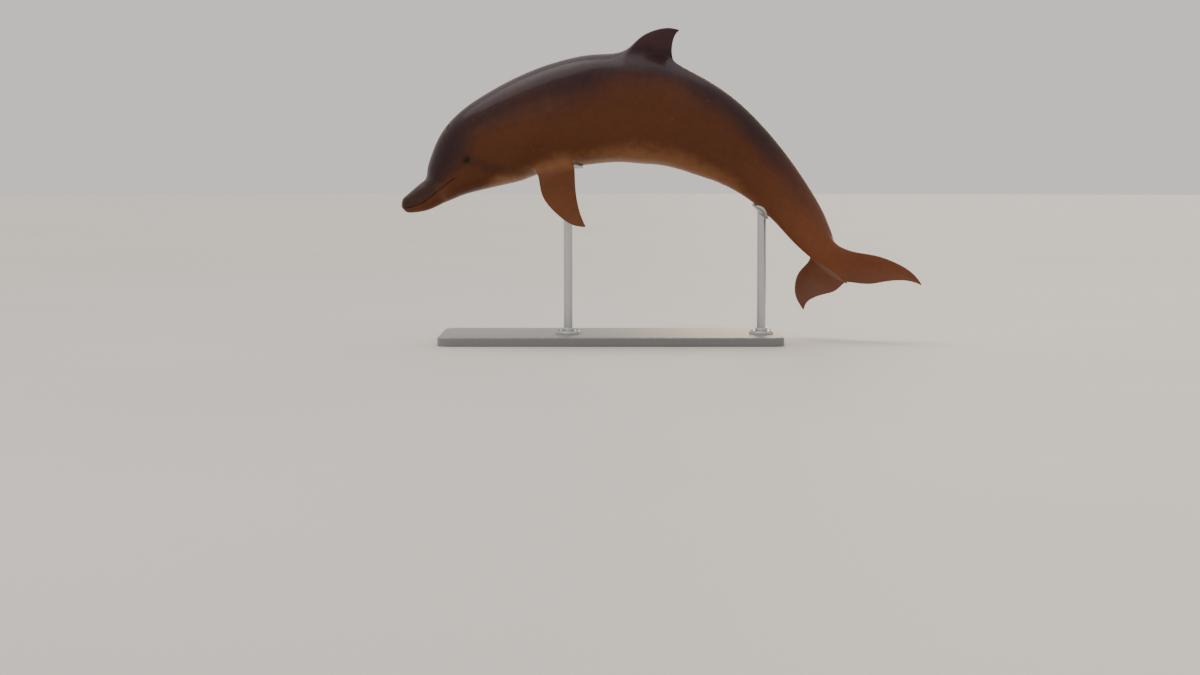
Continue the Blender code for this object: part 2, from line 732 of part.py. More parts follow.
def saddle_plate(name, skin, touch, into, radius, columns=20):
    """A round plate whose underside follows the skin, and whose top reaches into the body."""
    first = Vector((0, 1, 0)).cross(into).normalized()
    second = into.cross(first)
    rows = [(0.3 * radius, -SADDLE_THICK), (0.65 * radius, -SADDLE_THICK), (radius - 0.003, -SADDLE_THICK)]
    rows += [(radius, 0.003 - SADDLE_THICK), (radius, 0.045)]
    points, faces = [], []
    for distance, depth in rows:
        for k in range(columns):
            angle = 2 * math.pi * k / columns
            spot = touch + (first * math.cos(angle) + second * math.sin(angle)) * distance
            if depth < 0:
                spot = skin.ray_cast(spot - into * 0.08, into)[1]
            points.append(spot + into * depth)
    for i in range(len(rows) - 1):
        for k in range(columns):
            a, b = i * columns + k, i * columns + (k + 1) % columns
            faces.append((a, b, b + columns, a + columns))
    faces.append(tuple(range(columns)))
    faces.append(tuple(range(len(points) - columns, len(points))))
    obj = new_object(name, points, faces)
    outward(obj)
    return triangulate(obj)


def build_rod(skin, body_shape, name, station, saddle_radius):
    """A foot, an upright rod and a saddle that the belly rests in, as one solid."""
    above = spine(station)
    hit, touch, normal, _ = skin.ray_cast(Vector((above.x, above.y, 0.0)), Vector((0, 0, 1)))
    if not hit:
        raise RuntimeError(f"nothing stands over {name}")
    foot = Vector((above.x, above.y, BASE_SIZE[2] + GAP))
    top = touch.z - foot.z + ROD_RADIUS * math.hypot(normal.x, normal.y)
    profile = [(FOOT_RADIUS, 0.0), (FOOT_RADIUS, FOOT_HEIGHT - 0.003), (FOOT_RADIUS - 0.003, FOOT_HEIGHT)]
    profile += [(ROD_RADIUS, FOOT_HEIGHT), (ROD_RADIUS, top)]
    rod = lathe(name, profile, foot, Vector((0, 0, 1)))
    saddle = saddle_plate(f"cut_{name}", skin, touch, -normal, saddle_radius)
    saddle.hide_render = True
    saddle.display_type = "WIRE"
    boolean(rod, saddle, "UNION")
    boolean(rod, body_shape, "DIFFERENCE")
    return bake(rod)


# ---------------------------------------------------------------- finish
def paint(obj, colour, roughness, metallic=0.0):
    material = bpy.data.materials.new(f"{obj.name}_finish")
    material.use_nodes = True
    shader = material.node_tree.nodes["Principled BSDF"]
    shader.inputs["Base Color"].default_value = (*colour, 1.0)
    shader.inputs["Roughness"].default_value = roughness
    shader.inputs["Metallic"].default_value = metallic
    obj.data.materials.clear()
    obj.data.materials.append(material)


def main():
    for obj in list(bpy.data.objects):
        bpy.data.objects.remove(obj)
    skin = build_skin()
    body_shape = grown(skin)
    paint(build_base(), BASE_PAINT, 0.5)
    for name, station, radius in RODS:
        paint(build_rod(skin, body_shape, name, station, radius), STEEL, 0.35, 1.0)
    pieces = part_body(skin)
    for name, obj in pieces.items():
        pale = name == "lower_jaw"
        dark = name in ("dorsal_fin", "flipper_left", "flipper_right", "fluke_left", "fluke_right")
        paint(obj, PALE_BELLY if pale else DARK_BACK if dark else BROWN_FLANK, 0.3)
    for way, side in ((1, "left"), (-1, "right")):
        paint(ball(f"eye_{side}", eye_middle(way), EYE_RADIUS), EYE_DARK, 0.1)


main()
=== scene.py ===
"""The finished look of a life-size bottlenose dolphin on a display stand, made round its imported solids.

The skin is one closed surface drawn over the same spine and sections as the solids, in metres.
"""

from math import atan2, copysign, cos, exp, pi, radians, sin, tau

import bmesh
import bpy
import numpy as np
from bpy.props import FloatProperty, FloatVectorProperty, IntProperty, PointerProperty
from mathutils import Matrix, Vector
from mathutils.bvhtree import BVHTree


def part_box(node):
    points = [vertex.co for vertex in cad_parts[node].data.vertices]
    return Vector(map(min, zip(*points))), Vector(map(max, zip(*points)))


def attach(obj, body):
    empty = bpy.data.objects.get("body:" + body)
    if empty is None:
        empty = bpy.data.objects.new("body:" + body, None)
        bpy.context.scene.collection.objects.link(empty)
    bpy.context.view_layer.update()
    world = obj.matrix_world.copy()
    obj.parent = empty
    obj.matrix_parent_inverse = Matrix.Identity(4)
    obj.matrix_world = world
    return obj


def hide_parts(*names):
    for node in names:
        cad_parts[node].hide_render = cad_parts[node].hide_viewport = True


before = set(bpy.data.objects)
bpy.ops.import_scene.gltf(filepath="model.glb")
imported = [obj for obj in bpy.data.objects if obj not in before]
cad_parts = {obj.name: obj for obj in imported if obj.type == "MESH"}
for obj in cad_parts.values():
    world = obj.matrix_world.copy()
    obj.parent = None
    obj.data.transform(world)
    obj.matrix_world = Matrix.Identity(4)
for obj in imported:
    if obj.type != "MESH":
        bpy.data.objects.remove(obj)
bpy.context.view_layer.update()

bl_info = {
    "name": "Bottlenose dolphin on a stand",
    "version": (1, 0, 0),
    "blender": (4, 5, 0),
    "location": "View3D > Sidebar > Dolphin",
    "description": "Makes the dolphin's skin and eyes, the finish of its stand and a plain studio",
    "category": "Object",
}

MM = 0.001

# ---- the animal's measures, shared with its solids
LENGTH = 2.50
BEAK_TIP = (-1.1968, -0.1265, 0.6245)
# share of the length, pitch below level, swing away, roll of the back
POSE = (
    (0.00, -30, 0, 17),
    (0.14, -35.5, 0, 19),
    (0.22, -28, 0, 20),
    (0.30, -19.5, 0, 19),
    (0.38, -9.2, 0, 14),
    (0.45, 1.7, 0, 6),
    (0.51, 13.2, 0, 1),
    (0.57, 22.9, 0, -2),
    (0.66, 33.3, 0, -6),
    (0.76, 45.7, 0, -11),
    (0.86, 54, 4, -24),
    (0.925, 55.4, 14.3, -37.3),
    (0.96, 54.6, 25.1, -50),
    (1.00, 52.7, 32.9, -52.1),
)
# share of the length, height of the back, depth of the belly, half width
BODY = (
    (0.060, 0.0038, 0.0197, 0.0080),
    (0.070, 0.0204, 0.0304, 0.0270),
    (0.080, 0.0312, 0.0358, 0.0370),
    (0.094, 0.0423, 0.0402, 0.0440),
    (0.111, 0.0539, 0.0477, 0.0490),
    (0.141, 0.0700, 0.0602, 0.0560),
    (0.185, 0.0820, 0.0765, 0.0660),
    (0.222, 0.0857, 0.0850, 0.0740),
    (0.300, 0.0920, 0.0938, 0.0840),
    (0.380, 0.0976, 0.0992, 0.0870),
    (0.450, 0.0992, 0.0990, 0.0850),
    (0.510, 0.0967, 0.0967, 0.0790),
    (0.560, 0.0885, 0.0885, 0.0705),
    (0.620, 0.0795, 0.0795, 0.0590),
    (0.690, 0.0646, 0.0654, 0.0460),
    (0.760, 0.0518, 0.0538, 0.0360),
    (0.830, 0.0437, 0.0464, 0.0285),
    (0.890, 0.0365, 0.0412, 0.0235),
    (0.925, 0.0270, 0.0308, 0.0230),
    (0.945, 0.0195, 0.0218, 0.0235),
    (0.965, 0.0128, 0.0138, 0.0210),
    (0.985, 0.0070, 0.0070, 0.0118),
    (1.000, 0.0036, 0.0036, 0.0045),
)
BEAK = (
    (0.000, 0.0088, 0.0140, 0.0110),
    (0.030, 0.0133, 0.0305, 0.0190),
    (0.067, 0.0158, 0.0376, 0.0265),
    (0.110, 0.0163, 0.0437, 0.0360),
    (0.150, 0.0120, 0.0380, 0.0300),
)
ROUNDNESS = ((0.00, 2.3), (0.10, 2.15), (0.45, 2.1), (0.70, 1.9))
ROUNDNESS += ((0.88, 1.7), (0.93, 1.4), (0.96, 1.3), (1.00, 1.2))
MELON_FOLD, BEAK_FADE = 0.0035, 0.1
UPPER_LIP_BACK, LIP_FADE, LIP_HALF = 0.006, 0.06, 0.012
BEAK_INSET, BEAK_DOME, BEAK_OUT = 0.80, 0.0048, 0.002
# stations of the cage's rings, and its columns with the even angle between them
HEAD_RINGS = (0.004, 0.017, 0.034, 0.052, 0.063, 0.070, 0.079, 0.092, 0.110, 0.133, 0.162, 0.194, 0.224)
FLIPPER_RINGS = (0.256, 0.276, 0.296, 0.316, 0.336)
CHEST_RINGS = (0.369, 0.406)
DORSAL_RINGS = (0.444, 0.4645, 0.485, 0.5055, 0.526)
TAIL_RINGS = (0.566, 0.616, 0.668, 0.720, 0.772, 0.824, 0.872)
FLUKE_RINGS = (0.915, 0.935, 0.956, 0.979, 1.003)
RINGS = HEAD_RINGS + FLIPPER_RINGS + CHEST_RINGS + DORSAL_RINGS + TAIL_RINGS + FLUKE_RINGS
RING_FADE = 0.035
COLUMNS, EVEN = 16, 22.5
FIT_ROUNDS, FIT_STEP = 4, 0.8
# fin outlines along chord and span: root and two handles of the front, then of the rear, and the tip
DORSAL = (
    ((0.0, 0.0), (0.0128, 0.0367), (0.0495, 0.0642)),
    ((0.0910, 0.0), (0.0789, 0.0128), (0.0734, 0.0440)),
    (0.0881, 0.0589),
)
FLIPPER = (
    ((-0.043, 0.0), (-0.050, 0.055), (-0.046, 0.116)),
    ((0.040, 0.0), (0.022, 0.040), (-0.004, 0.080)),
    (-0.0064, 0.1402),
)
FLUKE = (
    ((-0.068, 0.0328), (-0.0524, 0.0667), (-0.0108, 0.1304)),
    ((0.0165, 0.0090), (0.038, 0.0562), (0.0192, 0.0945)),
    (0.0661, 0.1249),
)
FIN_STEPS = (0.18, 0.44, 0.74, 0.92, 0.985)
FIN_CHORD = (0.045, 0.20, 0.42, 0.66, 0.88)
FIN_SECTION = (0.50, 0.92, 1.0, 0.72, 0.30)
FIN_TAPER, FIN_POWER = 0.78, 1.3
DORSAL_BASE = (0.453, 0.518)
FLIPPER_ROOT, FLIPPER_AT = 0.296, (138.0, 222.0)
FLIPPER_DROOP, FLIPPER_SWEEP, FLIPPER_TWIST = 40.0, 9.0, 5.0
FLUKE_RISE = 6.3
# each fin's rings, middle column with its angle, how near the next columns are drawn, outline and thickness
FINS = (
    (DORSAL_RINGS, 0, 0.0, 14.0, DORSAL, 0.0085),
    (FLIPPER_RINGS, 6, FLIPPER_AT[0], 14.0, FLIPPER, 0.0085),
    (FLIPPER_RINGS, 10, FLIPPER_AT[1], 14.0, FLIPPER, 0.0085),
    (FLUKE_RINGS, 4, 90.0, 27.0, FLUKE, 0.0068),
    (FLUKE_RINGS, 12, 270.0, 27.0, FLUKE, 0.0068),
)
# where the fluke roots are softened: stations, shares of the length out from the spine, and the two steps
SOFT_FROM, SOFT_OUT, SOFT_IN, SOFT_BACK = (0.88, 0.92), (0.050, 0.028), 0.5, 0.52
FILL_ROUNDS, FILL_STEPS, SOFT_ROUNDS = 5, 12, 30
# faces are split above this many times their wanted size, which counts their longest side by this share
SPLIT_ABOVE, SPAN_SHARE = 1.42, 0.60
CUT_LEVELS, TRUE_LEVELS, PASSES = 2, 4, 7
CELL_GROWTH = 0.22
MOUTH = ((-0.03, 0.0), (0.0, -0.003), (0.02, -0.0088), (0.056, -0.0088))
MOUTH += ((0.08, -0.003), (0.1, 0.0012), (0.125, 0.0014))
MOUTH_END = 0.118
EYE_STATION, EYE_ANGLE, EYE_RADIUS, EYE_PROUD = 0.149, 76.0, 0.0170, 0.0036
EAR_BEHIND, EAR_BELOW, EAR_DEPTH = 0.023, 5.0, 0.0020
BLOWHOLE_STATION, BLOWHOLE_DIP, BLOWHOLE_RIM = 0.152, 0.0022, 0.0012
MELON_EDGE, MELON_SLANT, MELON_DEPTH = 0.0655, 0.026, 0.0022
LIP_RISE, SLIT_RIM, LID_RIM, LID_FOLD, LID_ROLL = 0.0008, 0.0010, 0.0004, 0.0011, 0.0006
# where each slit starts and ends, its share of the full depth and its half width
BELLY_SLITS = ((0.619, 0.664, 1.0, 0.0022), (0.688, 0.698, 0.8, 0.0022), (0.462, 0.472, 0.45, 0.0040))
THROAT_FOLDS = (0.196, 0.213, 0.231)
# each rod's solid, its station and the radius of its saddle
RODS = (("stand_rod_front", 0.350, 0.072), ("stand_rod_rear", 0.735, 0.048))
ROD_RADIUS, FOOT_RADIUS, FOOT_BOTTOM, FOOT_TOP = 0.020, 0.055, 0.0403, 0.0543
SADDLE_THICK, SADDLE_FLARE = 0.014, 0.012
CENTRE = 0.0008
FLOOR_RADIUS, FLOOR_HEIGHT, FLOOR_POINTS = 60.0, -0.0004, 96
CAMERA_PLACE, CAMERA_TILT, SENSOR, SIGHT = (-0.290, -10.797, 0.80), 85.83, 36.0, 200.0
UP = Vector((0, 0, 1))
FLESH = ("head", "upper_jaw", "lower_jaw", "chest", "trunk", "tail_stock")
FLESH += ("dorsal_fin", "flipper_left", "flipper_right", "fluke_left", "fluke_right")


# ---- settings
def number(name, text, default, **more):
    return FloatProperty(name=name, description=text, default=default, **more)


def length(name, text, default):
    return number(name, text, default, min=0.0, unit="LENGTH", precision=4)


def share(name, text, default):
    return number(name, text, default, min=0.0, max=1.0, subtype="FACTOR")


def colour(name, text, default):
    return FloatVectorProperty(name=name, description=text, default=default, min=0, max=1, subtype="COLOR")


class DolphinSkinSettings(bpy.types.PropertyGroup):
    trunk_cell: length("Trunk cell", "Size of the skin's faces on the trunk", 0.0095)
    head_cell: length("Head cell", "Size of the skin's faces on the head", 0.0060)
    fin_cell: length("Fin cell", "Size of the skin's faces on the fins", 0.0062)
    fine_cell: length("Fine cell", "Size of the faces round the eyes, mouth and blowhole", 0.0009)
    mouth_depth: length("Mouth depth", "How deep the line of the mouth is", 0.0042)
    mouth_width: length("Mouth width", "Half width of the line of the mouth", 0.0012)
    eye_length: length("Eye length", "Half length of the opening between the lids", 0.0165)
    eye_height: length("Eye height", "Half height of the opening between the lids", 0.0084)
    lid_thick: length("Lid thickness", "How far the lids stand over the eye", 0.0015)
    blowhole_radius: length("Blowhole radius", "Radius of the crescent of the blowhole", 0.0200)
    blowhole_depth: length("Blowhole depth", "How deep the blowhole's slit is", 0.0060)
    slit_depth: length("Slit depth", "How deep the slits of the belly are", 0.0038)
    fold_depth: length("Fold depth", "How deep the folds of the throat are", 0.0011)
    cape: colour("Cape", "Colour of the back", (0.037, 0.018, 0.020))
    flank: colour("Flank", "Colour of the sides", (0.104, 0.034, 0.014))
    belly: colour("Belly", "Colour of the underside", (0.26, 0.115, 0.050))
    beak: colour("Beak", "Colour of the beak's upper side", (0.052, 0.029, 0.022))
    scar: colour("Scars", "Colour of old scratches", (0.22, 0.15, 0.12))
    wetness: share("Wetness", "How strongly the wet film shines", 0.20)
    roughness: share("Roughness", "Roughness of the skin under its wet film", 0.34)


class DolphinEyeSettings(bpy.types.PropertyGroup):
    iris: colour("Iris", "Colour of the iris", (0.020, 0.009, 0.005))
    white: colour("White", "Colour of the eye round the iris", (0.050, 0.030, 0.024))
    iris_radius: length("Iris radius", "Radius of the iris", 0.0100)
    pupil_length: length("Pupil length", "Half length of the pupil", 0.0052)
    pupil_height: length("Pupil height", "Half height of the pupil", 0.0034)
    cornea_rise: length("Cornea rise", "How far the clear front stands out of the ball", 0.0007)


class DolphinStandSettings(bpy.types.PropertyGroup):
    paint: colour("Paint", "Colour of the base", (0.200, 0.200, 0.205))
    steel: colour("Steel", "Colour of the rods", (0.56, 0.57, 0.58))
    pad: colour("Pad", "Colour of the rubber pads", (0.022, 0.022, 0.024))
    screw_steel: colour("Screw steel", "Colour of the cap screws", (0.30, 0.30, 0.31))
    screw_count: IntProperty(name="Screws", description="Cap screws in each foot", default=6, min=3, max=12)
    screw_circle: length("Screw circle", "Radius of the circle that the screws stand on", 0.0420)
    screw_radius: length("Screw radius", "Radius of a screw's head", 0.0050)
    collar_radius: length("Collar radius", "Outer radius of the collar at a rod's foot", 0.0290)
    collar_height: length("Collar height", "Height of that collar", 0.0140)


class DolphinStudioSettings(bpy.types.PropertyGroup):
    floor: colour("Floor", "Colour of the floor", (0.70, 0.67, 0.63))
    room: colour("Room", "Colour of the light from all round", (1.0, 0.96, 0.91))
    room_strength: number("Room strength", "Strength of that light", 0.78, min=0)
    even_strength: number("Even light", "Strength of the wide light over the floor", 1.4)
    top_power: number("Top light", "Power of the light overhead", 18, unit="POWER")
    low_strength: number("Low light", "Strength of the warm light from behind", 0.65)
    fill_power: number("Fill light", "Power of the light in front", 25, unit="POWER")
    lens: number("Lens", "Focal length of the camera", 70.0, unit="CAMERA")
    tilt: number("Tilt", "Turn of the camera up from straight down", radians(CAMERA_TILT), subtype="ANGLE")
    camera_place: FloatVectorProperty(
        name="Camera", description="Place of the camera", default=CAMERA_PLACE, subtype="TRANSLATION"
    )


# ---- curves
def spline(table):
    """A smooth curve through the rows of a table, straight on beyond its ends."""
    knots, rows = np.array(table, float)[:, 0], np.array(table, float)[:, 1:]
    step = np.diff(knots)
    slope = np.diff(rows, axis=0) / step[:, None]
    system, wanted = np.zeros((len(knots), len(knots))), np.zeros_like(rows)
    system[0, :2], system[-1, -2:] = (2, 1), (1, 2)
    wanted[0], wanted[-1] = 3 * slope[0], 3 * slope[-1]
    for i in range(1, len(knots) - 1):
        system[i, i - 1 : i + 2] = step[i], 2 * (step[i - 1] + step[i]), step[i - 1]
        wanted[i] = 3 * (step[i] * slope[i - 1] + step[i - 1] * slope[i])
    tangent = np.linalg.solve(system, wanted)

    def at(u):
        if not knots[0] < u < knots[-1]:
            end = 0 if u <= knots[0] else -1
            return rows[end] + tangent[end] * (u - knots[end])
        i = int(np.searchsorted(knots, u)) - 1
        t = (u - knots[i]) / step[i]
        return (
            rows[i] * (1 + 2 * t) * (1 - t) ** 2
            + rows[i + 1] * t * t * (3 - 2 * t)
            + tangent[i] * step[i] * t * (1 - t) ** 2
            + tangent[i + 1] * step[i] * t * t * (t - 1)
        )

    return at


POSE_AT, BODY_AT, BEAK_AT, ROUND_AT, MOUTH_AT = map(spline, (POSE, BODY, BEAK, ROUNDNESS, MOUTH))


def bezier(points, tip, t):
    a, b, c, d = (np.array(p, float) for p in (*points, tip))
    return a * (1 - t) ** 3 + 3 * b * t * (1 - t) ** 2 + 3 * c * t * t * (1 - t) + d * t**3


def smooth_step(low, high, value):
    t = np.clip((value - low) / (high - low), 0.0, 1.0)
    return t * t * (3 - 2 * t)


def bell(value, width):
    return np.exp(-((value / width) ** 2))


def soft_max(a, b, k):
    return 0.5 * (a + b + np.sqrt((a - b) ** 2 + k * k))


# ---- the spine and the sections on it
def directions(u):
    """The unit vectors towards the tail, the back and the left flank at a station."""
    pitch, swing, roll = (radians(v) for v in POSE_AT(u))
    tail = Vector((cos(swing) * cos(pitch), sin(swing), -cos(swing) * sin(pitch)))
    level = Vector((sin(pitch), 0.0, cos(pitch)))
    side = tail.cross(level)
    return tail, level * cos(roll) + side * sin(roll), side * cos(roll) - level * sin(roll)


SPINE, SPINE_STEPS = [Vector(BEAK_TIP)], 1000
for step in range(SPINE_STEPS):
    SPINE.append(SPINE[-1] + directions((step + 0.5) / SPINE_STEPS)[0] * (LENGTH / SPINE_STEPS))


def spine(u):
    at = u * SPINE_STEPS
    i = min(max(int(at), 0), SPINE_STEPS - 1)
    return SPINE[i].lerp(SPINE[i + 1], at - i)


def section(u):
    """Height of the back, depth of the belly and half width at a station."""
    last = BEAK[-1][0]
    beak = BEAK_AT(min(u, last)) * max(0.0, 1 - max(0.0, u - last) / BEAK_FADE)
    return soft_max(BODY_AT(u), beak, MELON_FOLD) * LENGTH


def on_body(u, degrees):
    """A point of the skin at a station, so many degrees round from the back by the left flank."""
    tail, back, left = directions(u)
    high, low, wide = section(u)
    power = 2.0 / float(ROUND_AT(u)[0])
    c, s = cos(radians(degrees)), sin(radians(degrees))
    across = copysign(abs(s) ** power, s) * wide
    up = copysign(abs(c) ** power, c) * (high if c > 0 else low)
    upper = 0.5 + 0.5 * np.clip(up / (LIP_HALF * LENGTH), -1, 1)
    lip = UPPER_LIP_BACK * LENGTH * max(0.0, 1 - u / LIP_FADE) * upper
    return spine(u) + left * across + back * up + tail * float(lip)


def skin_frame(u, degrees):
    """A point of the skin with the directions towards the tail, towards the back and outwards."""
    ahead = on_body(u + 0.01, degrees) - on_body(u - 0.01, degrees)
    round_it = on_body(u, degrees + 4) - on_body(u, degrees - 4)
    tail, out = ahead.normalized(), round_it.cross(ahead).normalized()
    return on_body(u, degrees), tail, out.cross(tail) if degrees < 180 else tail.cross(out), out


def skin_frames(u, degrees):
    """The same on both sides."""
    return [skin_frame(u, angle) for angle in (degrees, 360 - degrees)]


STATIONS = np.linspace(-0.02, 1.02, 1041)
PLACES = np.array([spine(u) for u in STATIONS])
TAILS, BACKS, LEFTS = (np.array(rows) for rows in zip(*map(directions, STATIONS)))
HALF_SIZES = np.array([section(min(max(u, 0.0), 1.0)) for u in STATIONS])
MOUTH_HEIGHTS = np.array([MOUTH_AT(u)[0] for u in STATIONS]) * LENGTH
EYES = skin_frames(EYE_STATION, EYE_ANGLE)
EARS = skin_frames(EYE_STATION + EAR_BEHIND, EYE_ANGLE + EAR_BELOW)
BATCH = 20000


def body_coordinates(points):
    """Station, height over the spine, distance to its left, and row of the tables, for each point."""
    batches = (points[start : start + BATCH] for start in range(0, len(points), BATCH))
    index = np.concatenate([((PLACES**2).sum(1) - 2 * some @ PLACES.T).argmin(1) for some in batches])
    offset = points - PLACES[index]
    station = STATIONS[index] + (offset * TAILS[index]).sum(1) / LENGTH
    return station, (offset * BACKS[index]).sum(1), (offset * LEFTS[index]).sum(1), index


# ---- the cage
def column_angles(u):
    """Where each column stands at a station: even, but drawn in beside a fin."""
    angles = [EVEN * k for k in range(COLUMNS)]
    for rings, column, middle, pinch, *_ in FINS:
        here = max(0.0, 1 - max(rings[0] - u, u - rings[-1], 0.0) / RING_FADE)
        for step in (-1, 0, 1):
            k = (column + step) % COLUMNS
            angles[k] += here * ((middle + step * pinch - angles[k] + 180) % 360 - 180)
    return angles


class Cage:
    """Points and faces of the control cage."""

    def __init__(self):
        self.points, self.faces = [], []

    def add(self, point):
        self.points.append(Vector(point))
        return len(self.points) - 1

    def face(self, *corners):
        self.faces.append(corners)


def close_beak(cage, ring):
    """Domes the front with a grid of 4 by 4 cells whose rim is the first ring."""
    rim, grid = ring[2:] + ring[:2], {}
    for i in range(4):
        grid[i, 0], grid[4, i], grid[4 - i, 4], grid[0, 4 - i] = rim[i::4]
    middle = sum((cage.points[i] for i in ring), Vector()) / COLUMNS
    for i, j in ((i, j) for i in (1, 2, 3) for j in (1, 2, 3)):
        a, b = i / 4, j / 4
        ends = ((grid[0, j], 1 - a), (grid[4, j], a), (grid[i, 0], 1 - b), (grid[i, 4], b))
        flat = sum((cage.points[end] * part for end, part in ends), Vector()) / 2
        flat = middle + (flat - middle) * BEAK_INSET
        bulge = (1 - (2 * a - 1) ** 2) * (1 - (2 * b - 1) ** 2)
        grid[i, j] = cage.add(flat - directions(0.0)[0] * (BEAK_DOME * LENGTH * bulge + BEAK_OUT * LENGTH))
    for i, j in np.ndindex(4, 4):
        cage.face(grid[i, j], grid[i, j + 1], grid[i + 1, j + 1], grid[i + 1, j])


def close_tail(cage, ring):
    """Closes the last ring as a flat edge, back to belly."""
    half, quarter = COLUMNS // 2, COLUMNS // 4
    for k in range(quarter - 1):
        cage.face(ring[k], ring[k + 1], ring[half - k - 1], ring[half - k])
        cage.face(ring[half + k], ring[half + k + 1], ring[-k - 1], ring[(COLUMNS - k) % COLUMNS])
    for k in (quarter, -quarter):
        cage.face(ring[k - 1], ring[k], ring[k + 1])


def hole_loop(grid, rings, column):
    """The rim of a fin's hole: front, one side going back, rear, the other side coming forward."""
    first = RINGS.index(rings[0])
    rows = grid[first : first + len(rings)]
    side = [row[(column + 1) % COLUMNS] for row in rows]
    other = [row[column - 1] for row in reversed(rows)]
    return [rows[0][column], *side, rows[-1][column], *other]


def grow_fin(cage, loop, place, outline, thick):
    """Grows a fin from a rim at a root with chord, span and thickness directions."""
    root, chord, span, out = place
    front, rear, tip = outline
    for t in FIN_STEPS:
        lead, trail = bezier(front, tip, t) * LENGTH, bezier(rear, tip, t) * LENGTH
        half = thick * LENGTH * (1 - FIN_TAPER * t**FIN_POWER)
        side = [(lead + (trail - lead) * at, half * part) for at, part in zip(FIN_CHORD, FIN_SECTION)]
        other = [(spot, -deep) for spot, deep in side[::-1]]
        new = [
            cage.add(root + chord * float(along) + span * float(up) + out * float(deep))
            for (along, up), deep in ((lead, 0.0), *side, (trail, 0.0), *other)
        ]
        cage.faces += zip(loop, loop[1:] + loop[:1], new[1:] + new[:1], new)
        loop = new
    count = len(FIN_CHORD)
    cage.face(loop[0], loop[1], loop[-1])
    for i in range(1, count):
        cage.face(loop[i], loop[i + 1], loop[-i - 1], loop[-i])
    cage.face(*loop[count : count + 3])


def dorsal_frame():
    """Root, chord, span and thickness directions of the dorsal fin."""
    root, rear = (on_body(u, 0.0) for u in DORSAL_BASE)
    chord = (rear - root).normalized()
    back = directions(sum(DORSAL_BASE) / 2)[1]
    span = (back - chord * back.dot(chord)).normalized()
    return root, chord, span, chord.cross(span)


def flipper_frame(way):
    """The same for a flipper, way being 1 for the left and -1 for the right."""
    tail, back, left = directions(FLIPPER_ROOT)
    droop, sweep = radians(FLIPPER_DROOP), radians(FLIPPER_SWEEP)
    outward = left * way * cos(droop) - back * sin(droop)
    span = (tail * sin(sweep) + outward * cos(sweep)).normalized()
    chord = (tail - span * tail.dot(span)).normalized()
    chord = Matrix.Rotation(radians(FLIPPER_TWIST) * way, 3, span) @ chord
    return on_body(FLIPPER_ROOT, FLIPPER_AT[way < 0]), chord, span, chord.cross(span)


def fluke_frame(way):
    """The same for a fluke, from the notch, its thickness direction pointing to its rim's first side."""
    tail, back, left = directions(1.0)
    turn = Matrix.Rotation(-radians(FLUKE_RISE) * way, 3, tail)
    return spine(1.0), tail, turn @ left * way, turn @ back * -way


def build_cage():
    """The whole animal as one closed cage."""
    cage = Cage()
    grid = [[cage.add(on_body(u, angle)) for angle in column_angles(u)] for u in RINGS]
    replaced = {
        (RINGS.index(u), k % COLUMNS)
        for rings, column, *_ in FINS
        for u in rings[:-1]
        for k in (column - 1, column)
    }
    for r, k in np.ndindex(len(RINGS) - 1, COLUMNS):
        if (r, k) not in replaced:
            after = (k + 1) % COLUMNS
            cage.face(grid[r][k], grid[r + 1][k], grid[r + 1][after], grid[r][after])
    close_beak(cage, grid[0])
    close_tail(cage, grid[-1])
    places = (dorsal_frame(), flipper_frame(1), flipper_frame(-1), fluke_frame(1), fluke_frame(-1))
    for (rings, column, _, _, *shape), place in zip(FINS, places):
        grow_fin(cage, hole_loop(grid, rings, column), place, *shape)
    return cage


# ---- meshes
def linked(name, data):
    """A new object in the scene."""
    obj = bpy.data.objects.new(name, data)
    bpy.context.scene.collection.objects.link(obj)
    return obj


def new_object(name, points, faces):
    mesh = bpy.data.meshes.new(name)
    mesh.from_pydata([tuple(p) for p in points], [], faces)
    return linked(name, mesh)


def smooth_mesh(name, edit):
    """A smoothly shaded mesh from an edited one."""
    mesh = bpy.data.meshes.new(name)
    edit.to_mesh(mesh)
    edit.free()
    mesh.polygons.foreach_set("use_smooth", [True] * len(mesh.polygons))
    return mesh


def finished(name, edit, sharp=30.0):
    """An object whose faces look outward and are shaded smooth up to an angle."""
    bmesh.ops.recalc_face_normals(edit, faces=edit.faces)
    mesh = smooth_mesh(name, edit)
    mesh.set_sharp_from_angle(angle=radians(sharp))
    return linked(name, mesh)


def circle(radius, height=0.0, columns=64):
    """Points round the upright axis."""
    angles = np.linspace(0, tau, columns, endpoint=False)
    return [Vector((radius * cos(a), radius * sin(a), height)) for a in angles]


def shell(name, *bodies, closed=False):
    """An object made of rings of points, each body capped at its ends unless it closes on itself."""
    edit = bmesh.new()
    for body in bodies:
        rings = [[edit.verts.new(point) for point in ring] for ring in body]
        for one, other in zip(rings, rings[1:] + rings[:closed]):
            for k in range(len(one)):
                edit.faces.new((one[k - 1], one[k], other[k], other[k - 1]))
        for ring in [] if closed else (rings[0], rings[-1]):
            edit.faces.new(ring)
    return finished(name, edit)


def evaluated(obj):
    bpy.context.view_layer.update()
    return bpy.data.meshes.new_from_object(obj.evaluated_get(bpy.context.evaluated_depsgraph_get()))


def fitted(obj):
    """Moves the cage out until its smooth surface passes through the points that it was given."""
    modifier = obj.modifiers.new("smooth", "SUBSURF")
    modifier.levels, modifier.use_limit_surface = 1, True
    wanted = np.array([v.co for v in obj.data.vertices])
    cage = wanted.copy()
    for _ in range(FIT_ROUNDS):
        smooth = evaluated(obj)
        cage += FIT_STEP * (wanted - np.array([v.co for v in smooth.vertices])[: len(wanted)])
        bpy.data.meshes.remove(smooth)
        obj.data.vertices.foreach_set("co", cage.ravel())
        obj.data.update()
    return modifier


